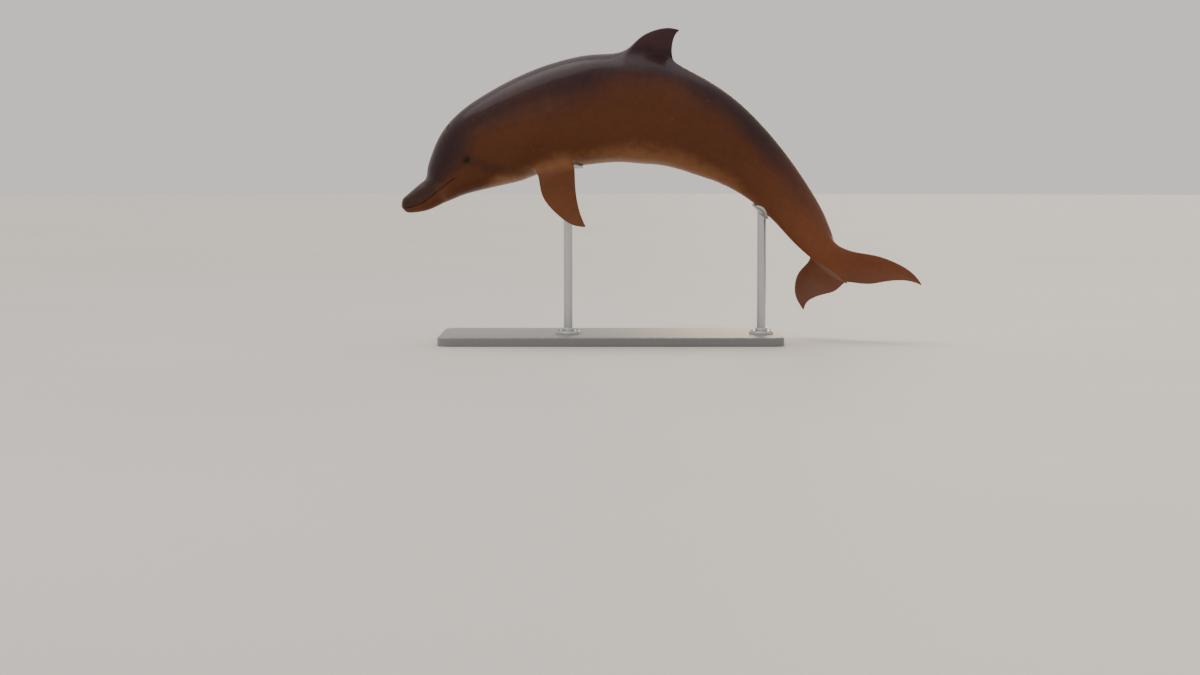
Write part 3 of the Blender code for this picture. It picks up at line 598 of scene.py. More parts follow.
def set_numbers(mesh, **columns):
    """Stores a number at each point under each name."""
    for name, values in columns.items():
        mesh.attributes.new(name, "FLOAT", "POINT").data.foreach_set("value", np.asarray(values, np.float32))


# ---- features of the skin
def lens_distance(x, y, half_length, half_height):
    """Distance out of an almond made of two arcs, negative inside."""
    radius = (half_length**2 + half_height**2) / (2 * half_height)
    drop = radius - half_height
    return soft_max(np.hypot(x, y + drop), np.hypot(x, y - drop), 0.8 * MM) - radius


def crescent_distance(x, y, radius):
    """Distance to an arc whose horns point forward."""
    angle = np.clip(np.arctan2(y, x), -1.25, 1.25)
    return np.hypot(x - radius * np.cos(angle), y - radius * np.sin(angle))


def local(points, place):
    """Coordinates of points in a frame on the skin."""
    centre, *axes = (np.array(v) for v in place)
    return [(points - centre) @ axis for axis in axes]


def distance(coordinates):
    return np.sqrt(sum(axis * axis for axis in coordinates))


class Features:
    """Where the fine features are, seen from a set of points."""

    def __init__(self, points, s):
        self.station, self.height, self.left, index = body_coordinates(points)
        high, low, wide = HALF_SIZES[index].T
        self.round = np.where(self.height > 0, self.height / high, self.height / low)
        self.outside = np.hypot(self.round, self.left / wide) - 1.0
        self.degrees = np.degrees(np.arctan2(np.abs(self.left), self.height))
        self.mouth = self.height - np.interp(self.station, STATIONS, MOUTH_HEIGHTS)
        self.mouth_here = smooth_step(MOUTH_END, MOUTH_END - 0.010, self.station)
        self.melon = (self.station - (MELON_EDGE + MELON_SLANT * (self.degrees / 80) ** 2)) * LENGTH
        self.melon_here = smooth_step(92, 76, self.degrees) * smooth_step(0.11, 0.09, self.station)
        self.eyes = [local(points, place) for place in EYES]
        self.eye_reach = [distance(eye) for eye in self.eyes]
        self.lids = [lens_distance(x, y, s.eye_length, s.eye_height) for x, y, _ in self.eyes]
        self.ear = np.minimum(*(distance(local(points, place)) for place in EARS))
        x, y, z = local(points, skin_frame(BLOWHOLE_STATION, 0.0))
        self.blow_reach = distance((x, y, z))
        self.blow = crescent_distance(x + 0.5 * s.blowhole_radius, y, s.blowhole_radius)


def cell_sizes(f, s):
    """The size that a face should have at each point."""
    head = smooth_step(0.30, 0.22, f.station)
    size = s.trunk_cell * (1 - head) + s.head_cell * head
    size = np.where(f.outside > 0.22, np.minimum(size, s.fin_cell), size)

    def closer(away, inner, scale=1.0, where=True):
        nonlocal size
        wanted = s.fine_cell * scale + np.maximum(away - inner, 0.0) * CELL_GROWTH
        size = np.where(where, np.minimum(size, wanted), size)

    closer(np.abs(f.mouth), 3 * MM, 1.0, f.station < MOUTH_END + 0.004)
    closer(np.abs(f.melon), 5 * MM, 2.6, f.melon_here > 0.05)
    for lid, reach in zip(f.lids, f.eye_reach):
        closer(np.maximum(lid, -2.0 * MM), 3 * MM, 1.0, reach < 0.08)
        closer(np.abs(lid + 0.3 * MM), 1.6 * MM, 0.5, reach < 0.03)
    closer(f.ear, 3 * MM)
    closer(f.blow, 4 * MM, 1.2, f.blow_reach < 0.09)
    for start, end, *_ in BELLY_SLITS:
        beyond = np.maximum(np.maximum(start - f.station, f.station - end), 0) * LENGTH
        closer(np.hypot(f.left, beyond), 7 * MM, 1.8, f.height < 0)
    for fold in THROAT_FOLDS:
        closer(np.abs(f.station - fold) * LENGTH, 7 * MM, 5.0, f.degrees > 105)
    return size


def relief(f, s, points, normals):
    """The moved points, and how much painted shade each one gets in the creases and pits."""
    out, crease = np.zeros((2, len(points)))

    def sink(here, depth, dark=1.0):
        """Sinks the skin where a mark is, and paints shade into it."""
        nonlocal out, crease
        out = out - depth * here
        crease = np.maximum(crease, dark * here)

    sink(bell(f.mouth, s.mouth_width) * f.mouth_here, s.mouth_depth)
    out += LIP_RISE * bell(np.abs(f.mouth) - 3.4 * MM, 2.2 * MM) * f.mouth_here
    sink(bell(f.melon, 2.8 * MM) * f.melon_here, MELON_DEPTH, 0.55)
    at_blow = f.blow_reach < 0.06
    sink(bell(f.blow, 1.5 * MM) * at_blow, s.blowhole_depth)
    out += BLOWHOLE_RIM * bell(f.blow - 4.5 * MM, 2.5 * MM) * at_blow
    out -= BLOWHOLE_DIP * bell(f.blow_reach, 0.030)
    sink(bell(f.ear, 1.5 * MM), EAR_DEPTH)
    for start, end, deep, wide in BELLY_SLITS:
        inside = smooth_step(start - 0.002, start + 0.004, f.station)
        inside = inside * smooth_step(end + 0.002, end - 0.004, f.station) * (f.height < 0)
        sink(bell(f.left, wide) * inside * deep, s.slit_depth)
        out += SLIT_RIM * deep * bell(np.abs(f.left) - 3.0 * wide, 1.8 * wide) * inside
    for fold in THROAT_FOLDS:
        bend = 0.0035 * np.sin(f.degrees * 0.11 + fold * 90)
        away = (f.station - fold - bend) * LENGTH
        below = smooth_step(108, 150, f.degrees)
        sink(bell(away, 4.2 * MM) * below, s.fold_depth, 0.25)
        out += 0.5 * s.fold_depth * bell(away - 9 * MM, 6 * MM) * below
    moved = points + normals * out[:, None]
    for (*_, outward), (x, y, z), lid in zip(EYES, f.eyes, f.lids):
        reach = np.hypot(x, y)
        ball = EYE_PROUD - EYE_RADIUS + np.sqrt(np.maximum(EYE_RADIUS**2 - reach**2, 0.0))
        upper = 0.5 + 0.5 * np.tanh(y / (2 * MM))
        from_fold = lid - 4.6 * MM + 1.0 * MM * (1 - upper)
        fold = bell(from_fold, 0.9 * MM) * (0.55 + 0.45 * upper)
        rim = soft_max(ball + s.lid_thick, z, 1.6 * MM) + LID_RIM * bell(lid - 0.8 * MM, 0.9 * MM)
        rim += LID_ROLL * bell(from_fold - 2.6 * MM, 1.8 * MM) * upper - LID_FOLD * fold
        pit = np.minimum(ball - 1.6 * MM, z - 2.4 * MM)
        inside = smooth_step(0.1 * MM, -1.1 * MM, lid)
        here = smooth_step(0.030, 0.018, reach) * (np.abs(z) < 0.03)
        moved += np.array(outward) * ((rim * (1 - inside) + pit * inside - z) * here)[:, None]
        # painted shade inside the lids and along the fold round them
        crease = np.maximum(crease, np.maximum(inside, 0.6 * fold) * here)
    return moved, crease


def face_marks(f, points):
    """How dark the marks between eye, melon and flipper are."""
    marks = np.zeros(len(points))
    for (eye, *_), reach, way in zip(EYES, f.eye_reach, (1, -1)):
        marks = np.maximum(marks, 0.9 * bell(reach, 0.026))
        root, chord, *_ = flipper_frame(way)
        crown = on_body(0.072, 62 if way > 0 else 298)
        for end, width, strength in ((root + chord * -0.10, 0.030, 0.55), (crown, 0.014, 0.35)):
            along, offset = np.array(end - eye), points - np.array(eye)
            t = np.clip(offset @ along / (along @ along), 0, 1)
            away = np.linalg.norm(offset - t[:, None] * along, axis=1)
            marks = np.maximum(marks, strength * bell(away, width))
    return marks


def refined(obj, s):
    """The smooth skin with smaller faces where there is more to show, each new point on the true surface."""
    modifier = fitted(obj)
    modifier.levels = TRUE_LEVELS
    bpy.context.view_layer.update()
    surface = BVHTree.FromObject(obj, bpy.context.evaluated_depsgraph_get())
    modifier.levels = CUT_LEVELS
    edit = bmesh.new()
    edit.from_mesh(evaluated(obj))
    for _ in range(PASSES):
        edit.faces.ensure_lookup_table()
        centres = np.array([face.calc_center_median() for face in edit.faces])
        spans = np.array([max(edge.calc_length() for edge in face.edges) for face in edit.faces])
        sizes = np.maximum(np.sqrt([face.calc_area() for face in edit.faces]), SPAN_SHARE * spans)
        large = np.nonzero(sizes > SPLIT_ABOVE * cell_sizes(Features(centres, s), s))[0]
        if not len(large):
            break
        for vertex in edit.verts:
            vertex.tag = True
        edges = {edge for i in large for edge in edit.faces[i].edges}
        bmesh.ops.subdivide_edges(edit, edges=list(edges), cuts=1, use_grid_fill=True)
        for vertex in edit.verts:
            if not vertex.tag:
                vertex.co = surface.find_nearest(vertex.co)[0]
        bmesh.ops.triangulate(edit, faces=[face for face in edit.faces if len(face.verts) > 4])
    return edit


def soften(edit):
    """Fills the creases where the flukes leave the tail, then evens them out without thinning the tail."""
    edit.verts.index_update()
    points = np.array([v.co for v in edit.verts])
    station, _, left, _ = body_coordinates(points)
    here = (smooth_step(*SOFT_FROM, station) * smooth_step(*SOFT_OUT, np.abs(left) / LENGTH))[:, None]
    one, other = np.array([[v.index for v in edge.verts] for edge in edit.edges]).T
    count = np.bincount(np.concatenate((one, other)), minlength=len(points))[:, None]

    def towards_neighbours():
        total = np.zeros_like(points)
        np.add.at(total, one, points[other])
        np.add.at(total, other, points[one])
        return here * (total / count - points)

    def put_back():
        for vertex, point in zip(edit.verts, points):
            vertex.co = point
        edit.normal_update()
        return np.array([v.normal for v in edit.verts])

    for _ in range(FILL_ROUNDS):
        normals = put_back()
        for _ in range(FILL_STEPS):
            step = towards_neighbours()
            points += 0.5 * step * ((step * normals).sum(1, keepdims=True) > 0)
    for step in (SOFT_IN, -SOFT_BACK) * SOFT_ROUNDS:
        points += step * towards_neighbours()
    return put_back()


def build_skin(s):
    cage = build_cage()
    obj = new_object("dolphin_skin", cage.points, cage.faces)
    edit = bmesh.new()
    edit.from_mesh(obj.data)
    bmesh.ops.delete(edit, geom=[v for v in edit.verts if not v.link_faces], context="VERTS")
    bmesh.ops.recalc_face_normals(edit, faces=edit.faces)
    edit.to_mesh(obj.data)
    edit.free()
    edit = refined(obj, s)
    normals = soften(edit)
    points = np.array([v.co for v in edit.verts])
    features = Features(points, s)
    moved, crease = relief(features, s, points, normals)
    obj.modifiers.clear()
    obj.data = smooth_mesh("dolphin_skin", edit)
    obj.data.vertices.foreach_set("co", moved.ravel())
    height, fin = np.clip(features.round, -1.3, 1.3), smooth_step(0.07, 0.26, features.outside)
    jaw, marks = np.clip(features.mouth / (6 * MM), -1, 1) * features.mouth_here, face_marks(features, points)
    set_numbers(obj.data, along=features.station, height=height, fin=fin, jaw=jaw, crease=crease, marks=marks)
    obj.data.update()
    return obj


# ---- materials
def put(tree, socket, value):
    """Links a socket, or sets its own value."""
    if isinstance(value, bpy.types.NodeSocket):
        tree.links.new(value, socket)
    else:
        socket.default_value = (*value, 1.0) if socket.type == "RGBA" else value


def add_node(tree, kind, inputs, **settings):
    node = tree.nodes.new(kind)
    for name, value in settings.items():
        setattr(node, name, value)
    for name, value in inputs.items():
        put(tree, node.inputs[name], value)
    return node


def tint(tone, factor):
    return [c * factor for c in tone]


class Finish:
    """A material and short ways to add nodes to it."""

    def __init__(self, name):
        self.material = bpy.data.materials.new(name)
        self.material.use_nodes = True
        self.tree = self.material.node_tree
        self.place = self.node("ShaderNodeTexCoord").outputs["Object"]

    def node(self, kind, inputs=None, **settings):
        return add_node(self.tree, kind, inputs or {}, **settings)

    def done(self, **values):
        """Sets the shader's sockets, with _ for a space in their names, and gives the material."""
        shader = self.tree.nodes["Principled BSDF"]
        for name, value in {"Base_Color": self.base, **values}.items():
            put(self.tree, shader.inputs[name.replace("_", " ")], value)
        return self.material

    def math(self, operation, *values):
        return self.node("ShaderNodeMath", dict(enumerate(values)), operation=operation).outputs[0]

    def chain(self, operation, first, *others):
        for other in others:
            first = self.math(operation, first, other)
        return first

    def times(self, *values):
        return self.chain("MULTIPLY", *values)

    def fade(self, value, low, high, to_low=0.0, to_high=1.0):
        inputs = {"Value": value, "From Min": low, "From Max": high, "To Min": to_low, "To Max": to_high}
        return self.node("ShaderNodeMapRange", inputs, interpolation_type="SMOOTHSTEP").outputs["Result"]

    def mix(self, amount, low, high, blend="MIX"):
        inputs = {0: amount, 6: low, 7: high}
        return self.node("ShaderNodeMix", inputs, data_type="RGBA", blend_type=blend).outputs[2]

    def lay(self, tone, *amounts, blend="MIX"):
        """Lays a tone over the base colour, as strongly as the product of the amounts."""
        self.base = self.mix(self.times(*amounts), self.base, tone, blend)

    def number(self, name):
        return self.node("ShaderNodeAttribute", attribute_name=name).outputs["Fac"]

    def mapped(self, scale=(1, 1, 1), turn=(0, 0, 0), move=(0, 0, 0)):
        turn = [radians(a) for a in turn]
        inputs = {"Vector": self.place, "Scale": scale, "Rotation": turn, "Location": move}
        return self.node("ShaderNodeMapping", inputs).outputs[0]

    def noise(self, scale, detail=2.0, rough=0.5, at=None):
        inputs = {"Vector": at or self.place, "Scale": scale, "Detail": detail, "Roughness": rough}
        return self.node("ShaderNodeTexNoise", inputs).outputs["Fac"]

    def cells(self, scale, at=None, feature="F1"):
        inputs = {"Vector": at or self.place, "Scale": scale}
        return self.node("ShaderNodeTexVoronoi", inputs, feature=feature)

    def bands(self, at, scale, distortion, detail, detail_scale):
        inputs = {"Vector": at, "Scale": scale, "Distortion": distortion}
        inputs.update({"Detail": detail, "Detail Scale": detail_scale})
        return self.node("ShaderNodeTexWave", inputs, wave_type="BANDS", bands_direction="X").outputs["Fac"]

    def bump(self, height, distance, strength, under=None):
        inputs = {"Height": height, "Distance": distance, "Strength": strength}
        if under:
            inputs["Normal"] = under
        return self.node("ShaderNodeBump", inputs).outputs[0]


def scratches(f, turn, seed):
    """Short groups of fine parallel lines, as other dolphins' teeth leave, all running one way."""
    at = f.mapped((1, 1, 1), turn, (seed, 0.3 * seed, 0.7 * seed))
    lines = f.bands(at, 34.0, 1.2, 1.0, 0.5)
    groups = f.node("ShaderNodeMapping", {"Vector": at, "Scale": (13.0, 6.0, 4.2)}).outputs[0]
    cell = f.cells(1.0, groups).outputs
    chosen = f.fade(f.node("ShaderNodeSeparateColor", {0: cell["Color"]}).outputs[0], 0.80, 0.83)
    patch = f.times(f.fade(cell["Distance"], 0.42, 0.26), chosen)
    return f.times(f.fade(lines, 0.955, 0.995), patch, f.fade(f.noise(70.0, 3.0, 0.6), 0.30, 0.62))


def skin_finish(s):
    """Dark cape, brown flank and paler belly, mottled, scratched and wet."""
    f = Finish("wet_dolphin_skin")
    fade, times = f.fade, f.times
    along, height, fin = map(f.number, ("along", "height", "fin"))
    jaw, crease, marks = map(f.number, ("jaw", "crease", "marks"))
    cloud, grain, fine = f.noise(5.0, 4.0, 0.6), f.noise(34.0, 5.0, 0.65), f.noise(260.0, 3.0, 0.6)
    # how far up the side each point counts: 1 on the back, -1 under the belly
    wander = f.math("MULTIPLY_ADD", f.math("SUBTRACT", cloud, 0.5), 0.42, height)
    ripple = f.math("MULTIPLY_ADD", f.math("SUBTRACT", grain, 0.5), 0.10, wander)
    tail_dark, head_dark = fade(along, 0.60, 0.86, 0.0, 0.42), fade(along, 0.20, 0.06, 0.0, 0.20)
    throat = times(fade(along, 0.13, 0.20), fade(along, 0.36, 0.28, 0.0, -0.18))
    level = f.chain("ADD", ripple, tail_dark, head_dark, throat)
    lower = f.mix(fade(level, -0.96, -0.50), s.belly, s.flank)
    f.base = f.mix(fade(level, 0.10, 0.82), lower, s.cape)
    blaze = times(fade(along, 0.30, 0.50), fade(along, 0.66, 0.54))
    f.lay(tint(s.flank, 1.55), blaze, times(fade(level, 0.15, 0.42), fade(level, 0.80, 0.5)), 0.30)
    f.lay(s.beak, fade(along, 0.085, 0.060), fade(jaw, -0.5, 0.3), 0.85)
    f.lay(tint(s.flank, 1.3), fade(along, 0.11, 0.07), fade(jaw, 0.1, -0.7), 0.35)
    f.lay(f.mix(fade(along, 0.44, 0.38), tint(s.cape, 1.6), tint(s.flank, 1.4)), fin, 0.88)
    # painted light: towards the tail the skin is painted lighter and warmer, as if the warm low light fell on
    # it
    f.lay(tint(s.flank, 2.1), fade(along, 0.66, 0.96, 0.0, 0.78))
    f.lay(tint(s.cape, 0.55), marks, 0.75)
    f.lay((0.8, 0.8, 0.8), fade(cloud, 0.35, 0.75, 0.0, 0.30), blend="MULTIPLY")
    f.lay((0.72, 0.72, 0.73), fade(grain, 0.30, 0.75, 0.0, 0.40), blend="MULTIPLY")
    spots = fade(f.cells(26.0, f.mapped((1, 1, 1.4))).outputs["Distance"], 0.16, 0.05)
    f.lay(s.scar, spots, fade(cloud, 0.50, 0.62), fade(along, 0.10, 0.16), 0.22)
    ways = (((0, 58, 0), 1.0), ((0, -22, 12), 5.2), ((8, 14, 0), 9.1))
    rakes = f.chain("MAXIMUM", *(scratches(f, turn, seed) for turn, seed in ways))
    rakes = times(rakes, fade(along, 0.16, 0.22))
    f.lay(s.scar, rakes, 0.26)
    # painted shade: darkens the creases of the mouth, melon, blowhole, ear, belly slits, throat folds and
    # eyelids
    f.lay(tint(s.beak, 0.25), crease, 0.86)
    ridges = f.bands(f.mapped((1, 1, 1), (0, 24, 0)), 150.0, 14.0, 3.0, 1.5)
    normal = f.bump(grain, 0.0011, 0.50, f.bump(cloud, 0.006, 0.35))
    normal = f.bump(ridges, 0.00008, 0.35, normal)
    normal = f.bump(f.math("MULTIPLY_ADD", rakes, 0.8, fine), 0.00030, 0.45, normal)
    rough = f.math("ADD", f.math("MULTIPLY_ADD", cloud, 0.12, s.roughness - 0.06), times(grain, 0.08))
    film = {"Coat_Weight": s.wetness, "Coat_Roughness": 0.10, "Coat_IOR": 1.36}
    film["Coat_Normal"] = f.bump(grain, 0.0006, 0.35)
    return f.done(Roughness=rough, Normal=normal, Specular_IOR_Level=0.07, **film)


def eye_finish(s):
    """A dark brown iris with fine fibres round a wide pupil, under a clear wet front."""
    f = Finish("dolphin_eye")
    across, upward, edge = f.number("across"), f.number("upward"), s.iris_radius

    def squares(x, y):
        return f.math("ADD", f.times(x, x), f.times(y, y))

    reach, turn = f.math("SQRT", squares(across, upward)), f.math("ARCTAN2", upward, across)
    swirl = f.node("ShaderNodeCombineXYZ", {"X": f.times(turn, 3.0), "Y": f.times(reach, 260.0)})
    fibres = f.noise(2.6, 4.0, 0.7, swirl.outputs[0])
    f.base = f.mix(fibres, tint(s.iris, 0.35), tint(s.iris, 1.8))
    f.lay(s.white, f.fade(reach, edge * 0.93, edge * 1.06))
    f.lay((0.006, 0.004, 0.003), f.fade(reach, edge * 0.80, edge), f.fade(reach, edge * 1.2, edge), 0.85)
    veins = f.fade(f.cells(420.0, feature="DISTANCE_TO_EDGE").outputs["Distance"], 0.06, 0.0)
    f.lay((0.10, 0.02, 0.012), veins, f.fade(reach, edge * 1.05, edge * 1.3), 0.3)
    pupil = squares(f.math("DIVIDE", across, s.pupil_length), f.math("DIVIDE", upward, s.pupil_height))
    f.lay((0.002, 0.002, 0.003), f.fade(pupil, 1.25, 0.85))
    rough, normal = f.fade(fibres, 0.2, 0.8, 0.16, 0.26), f.bump(fibres, 0.00015, 0.4)
    film = {"Coat_Weight": 0.45, "Coat_Roughness": 0.02, "Coat_IOR": 1.34}
    return f.done(Roughness=rough, Normal=normal, Specular_IOR_Level=0.04, **film)


def paint_finish(s):
    """Satin paint with a faint orange peel, darker towards the floor and rubbed at its edges."""
    f = Finish("satin_stand_paint")
    cloud, specks = f.noise(1.1, 3.0, 0.5), f.cells(900.0).outputs["Distance"]
    low, high = (corner.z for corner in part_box("stand_base")[:2])
    up = f.node("ShaderNodeSeparateXYZ", {0: f.place}).outputs["Z"]
    f.base = f.mix(f.fade(cloud, 0.3, 0.75, 0.0, 0.35), s.paint, tint(s.paint, 0.94))
    # the paint is darker towards the floor
    f.lay(tint(s.paint, 0.72), f.fade(up, low + 0.018, low, 0.0, 0.5), f.fade(cloud, 0.3, 0.7))
    edge = f.times(f.fade(up, high - 0.007, high - 0.003), f.fade(up, high + 0.001, high - 0.002))
    f.lay((0.42, 0.41, 0.39), edge, f.fade(f.noise(28.0, 4.0), 0.45, 0.65, 0.0, 0.35))
    f.lay(tint(s.paint, 0.6), f.fade(specks, 0.10, 0.04, 0.0, 0.22))
    rough, normal = f.math("MULTIPLY_ADD", cloud, 0.06, 0.42), f.bump(f.noise(420.0, 2.0, 0.5), 0.0002, 0.35)
    return f.done(Roughness=rough, Normal=normal, Coat_Weight=0.12, Coat_Roughness=0.25)


def steel_finish(name, tone, grain):
    """Worn steel whose marks run as a stretch along each axis says."""
    f = Finish(name)
    cloud, smudge = f.noise(9.0, 4.0, 0.6), f.noise(22.0, 3.0, 0.55)
    lines = f.noise(1.0, 6.0, 0.7, f.mapped(grain))
    f.base = f.mix(f.fade(lines, 0.3, 0.7, 0.0, 0.5), tone, tint(tone, 0.74))
    f.lay(tint(tone, 0.82), f.fade(smudge, 0.52, 0.72, 0.0, 0.25))
    rough = f.math("ADD", f.math("MULTIPLY_ADD", lines, 0.14, 0.20), f.times(cloud, 0.08))
    return f.done(Metallic=1.0, Roughness=rough, Normal=f.bump(lines, 0.0001, 0.30))


def rubber_finish(tone):
    """Dull black rubber with a fine grain."""
    f = Finish("pad_rubber")
    grain, cloud = f.noise(900.0, 3.0, 0.6), f.noise(30.0, 3.0, 0.5)
    f.base = f.mix(f.fade(cloud, 0.3, 0.7), tone, tint(tone, 1.5))
    return f.done(Roughness=f.fade(grain, 0.2, 0.8, 0.62, 0.78), Normal=f.bump(grain, 0.0002, 0.4))


def floor_finish(tone):
    f = Finish("studio_floor")
    f.base = f.mix(f.fade(f.noise(0.35, 3.0, 0.5), 0.3, 0.7), tone, tint(tone, 0.965))
    return f.done(Roughness=0.62, Normal=f.bump(f.noise(180.0, 2.0), 0.0004, 0.12), Specular_IOR_Level=0.10)


def wear(obj, material):
    obj.data.materials.clear()
    obj.data.materials.append(material)


# ---- eyes and small parts of the stand
def build_eye(name, place, s, rows=40, columns=64):
    """A ball with a slightly raised clear front, looking outwards."""
    at, tail, up, out = place
    middle = at - out * (EYE_RADIUS - EYE_PROUD)
    between = [(pi * i / rows, tau * k / columns) for i in range(1, rows) for k in range(columns)]
    edit, flat = bmesh.new(), []
    for polar, turn in ((0.0, 0.0), *between, (pi, 0.0)):
        radius = EYE_RADIUS + s.cornea_rise * exp(-((polar / radians(30)) ** 2))
        x, y = radius * sin(polar) * cos(turn), radius * sin(polar) * sin(turn)
        edit.verts.new(middle + tail * x + up * y + out * (radius * cos(polar)))
        flat.append((x, y))
    points = list(edit.verts)
    for k in range(columns):
        after = (k + 1) % columns
        edit.faces.new((points[0], points[1 + k], points[1 + after]))
        edit.faces.new((points[-1], points[after - columns - 1], points[k - columns - 1]))
        for start in range(1, len(between) - columns, columns):
            one, other = start + k, start + after
            edit.faces.new([points[i] for i in (one, one + columns, other + columns, other)])
    eye = finished(name, edit)
    across, upward = zip(*flat)
    set_numbers(eye.data, across=across, upward=upward)
    return eye


def build_collar(name, s):
    """A collar with small chamfers, to be set round a rod's foot."""
    inner, outer, tall, cut = 0.0204, s.collar_radius, s.collar_height, 0.0012
    profile = [(inner, 0.0), (outer, 0.0), (outer, tall - 2 * cut), (outer - 0.6 * cut, tall - 0.6 * cut)]
    profile += [(outer - 2 * cut, tall), (inner + cut, tall), (inner, tall - cut)]
    return shell(name, [circle(*row) for row in profile], closed=True)


def build_screw_head(radius):
    """A cap screw's head with its hexagon socket."""
    tall, half, cut = 0.9 * radius, 0.5 * radius, 0.12 * radius
    rings = [circle(r, z, 24) for r, z in ((radius, 0.0), (radius, tall - cut), (radius - cut, tall))]
    for z in (tall, tall - half):
        ring = circle(half, z, 24)
        for point in ring:
            corner = (atan2(point.y, point.x) + pi / 6) % (pi / 3) - pi / 6
            point.xy /= cos(corner)
        rings.append(ring)
    return shell("screw_head", rings)


def screw_tree(material):
    """Node tree: one head on each point of a circle."""
    tree = bpy.data.node_groups.new("screws_on_a_circle", "GeometryNodeTree")
    tree.interface.new_socket("Geometry", in_out="OUTPUT", socket_type="NodeSocketGeometry")
    sockets = {"Head": "Object", "Count": "Int", "Circle radius": "Float", "Foot centre": "Vector"}
    for name, kind in sockets.items():
        tree.interface.new_socket(name, in_out="INPUT", socket_type="NodeSocket" + kind)
    given = tree.nodes.new("NodeGroupInput").outputs

    def node(kind, inputs, output=0, **settings):
        return add_node(tree, kind, inputs, **settings).outputs[output]

    ring = node("GeometryNodeMeshCircle", {"Vertices": given["Count"], "Radius": given["Circle radius"]})
    ring = node("GeometryNodeTransform", {"Geometry": ring, "Translation": given["Foot centre"]})
    head = node("GeometryNodeObjectInfo", {"Object": given["Head"]}, "Geometry")
    turn = node("FunctionNodeRandomValue", {"Max": (0, 0, tau), "Seed": 4}, "Value", data_type="FLOAT_VECTOR")
    heads = node("GeometryNodeInstanceOnPoints", {"Points": ring, "Instance": head, "Rotation": turn})
    real = node("GeometryNodeRealizeInstances", {0: heads})
    worn = node("GeometryNodeSetMaterial", {"Geometry": real, "Material": material})
    tree.links.new(worn, tree.nodes.new("NodeGroupOutput").inputs[0])
    return tree


def build_screws(s, material):
    """The screws of both feet, as one piece."""
    head, tree = build_screw_head(s.screw_radius), screw_tree(material)
    holder, edit = new_object("screw_circle", [], []), bmesh.new()
    for _, station, _ in RODS:
        modifier = holder.modifiers.new("screws", "NODES")
        modifier.node_group = tree
        wanted = {"Head": head, "Count": s.screw_count, "Circle radius": s.screw_circle}
        wanted["Foot centre"] = tuple(rod_axis(station) + UP * FOOT_TOP)
        for item in tree.interface.items_tree:
            if item.in_out == "INPUT":
                modifier[item.identifier] = wanted[item.name]
        edit.from_mesh(evaluated(holder))
        holder.modifiers.clear()
    for used in (head, holder):
        bpy.data.objects.remove(used)
    screws = finished("stand_screws", edit)
    wear(screws, material)
    return screws


def rod_axis(station):
    """The middle of a rod's foot, on the floor's plane."""
    above = spine(station)
    return Vector((above.x, above.y, 0.0))


def saddle_place(skin, station):
    """Where a rod's axis meets the belly, two directions along the skin there and the one into it."""
    hit, touch, normal, _ = skin.ray_cast(rod_axis(station), UP)
    if not hit:
        raise RuntimeError("a rod stands under nothing")
    first = Vector((0, 1, 0)).cross(-normal).normalized()
    return touch, first, (-normal).cross(first), -normal


def disc(skin, place, rows):
    """Rings that follow the skin, from rows of radius and depth, top centre first."""
    touch, first, second, into = place
    rings = []
    for radius, depth in rows:
        spots = (touch + first * p.x + second * p.y - into * 0.06 for p in circle(radius, 0.0, 96))
        rings.append([skin.ray_cast(spot, into)[1] + into * depth for spot in spots])
    return rings


def post(skin, place, station):
    """Rings of a foot and its rod, flared where the rod meets the underside of its saddle."""
    axis, bevel, cover = rod_axis(station), 1.5 * MM, SADDLE_THICK / place[3].z
    rows = [(0.02, FOOT_BOTTOM), (FOOT_RADIUS, FOOT_BOTTOM), (FOOT_RADIUS, FOOT_TOP - bevel)]
    rows += [(FOOT_RADIUS - 0.3 * bevel, FOOT_TOP - 0.3 * bevel), (FOOT_RADIUS - bevel, FOOT_TOP)]
    rings = [[axis + point for point in circle(*row)] for row in (*rows, (ROD_RADIUS, FOOT_TOP))]
    for step in range(10):
        turn = radians(90 * min(step, 8) / 8)
        below = SADDLE_FLARE * (1 - sin(turn)) - (3.5 if step == 9 else 0.5) * MM
        spots = (axis + point for point in circle(ROD_RADIUS + SADDLE_FLARE * (1 - cos(turn))))
        rings.append([skin.ray_cast(spot, UP)[1] - UP * (cover + below) for spot in spots])
    return rings


def build_rod(name, skin, station, radius):
    """Foot, rod and cupped saddle in steel, with a recess for the pad."""
    place, lip = saddle_place(skin, station), 5 * MM
    rows = [(r, -5 * MM) for r in np.linspace(CENTRE, radius - lip, 14)]
    rows += [(radius - lip + 0.4 * MM, -1.6 * MM), (radius - lip + 0.9 * MM, -1.0 * MM)]
    rows += [(radius - 1.6 * MM, -1.0 * MM), (radius - 0.5 * MM, -1.5 * MM), (radius, -2.8 * MM)]
    rows += [(radius, 4 * MM - SADDLE_THICK), (radius - 1.2 * MM, 1.2 * MM - SADDLE_THICK)]
    rows += [(r, -SADDLE_THICK) for r in np.linspace(radius - 4 * MM, CENTRE, 10)]
    return shell(name, disc(skin, place, rows), post(skin, place, station))


def build_pad(name, skin, station, radius):
    """A soft pad between the saddle and the belly."""
    edge = radius - 5.4 * MM
    rows = [(r, -0.5 * MM) for r in np.linspace(CENTRE, edge - 1.2 * MM, 12)]
    rows += [(edge - 0.3 * MM, -0.9 * MM), (edge, -1.8 * MM), (edge, -4.8 * MM), (CENTRE, -4.8 * MM)]
    return shell(name, disc(skin, saddle_place(skin, station), rows))


# ---- studio
def add_light(name, kind, place, target, power, tone, **measures):
    data = bpy.data.lights.new(name, kind)
    for measure, value in {"energy": power, "color": tone, **measures}.items():
        setattr(data, measure, value)
    light = linked(name, data)
    light.location = place
    light.rotation_euler = (Vector(target) - Vector(place)).to_track_quat("-Z", "Y").to_euler()


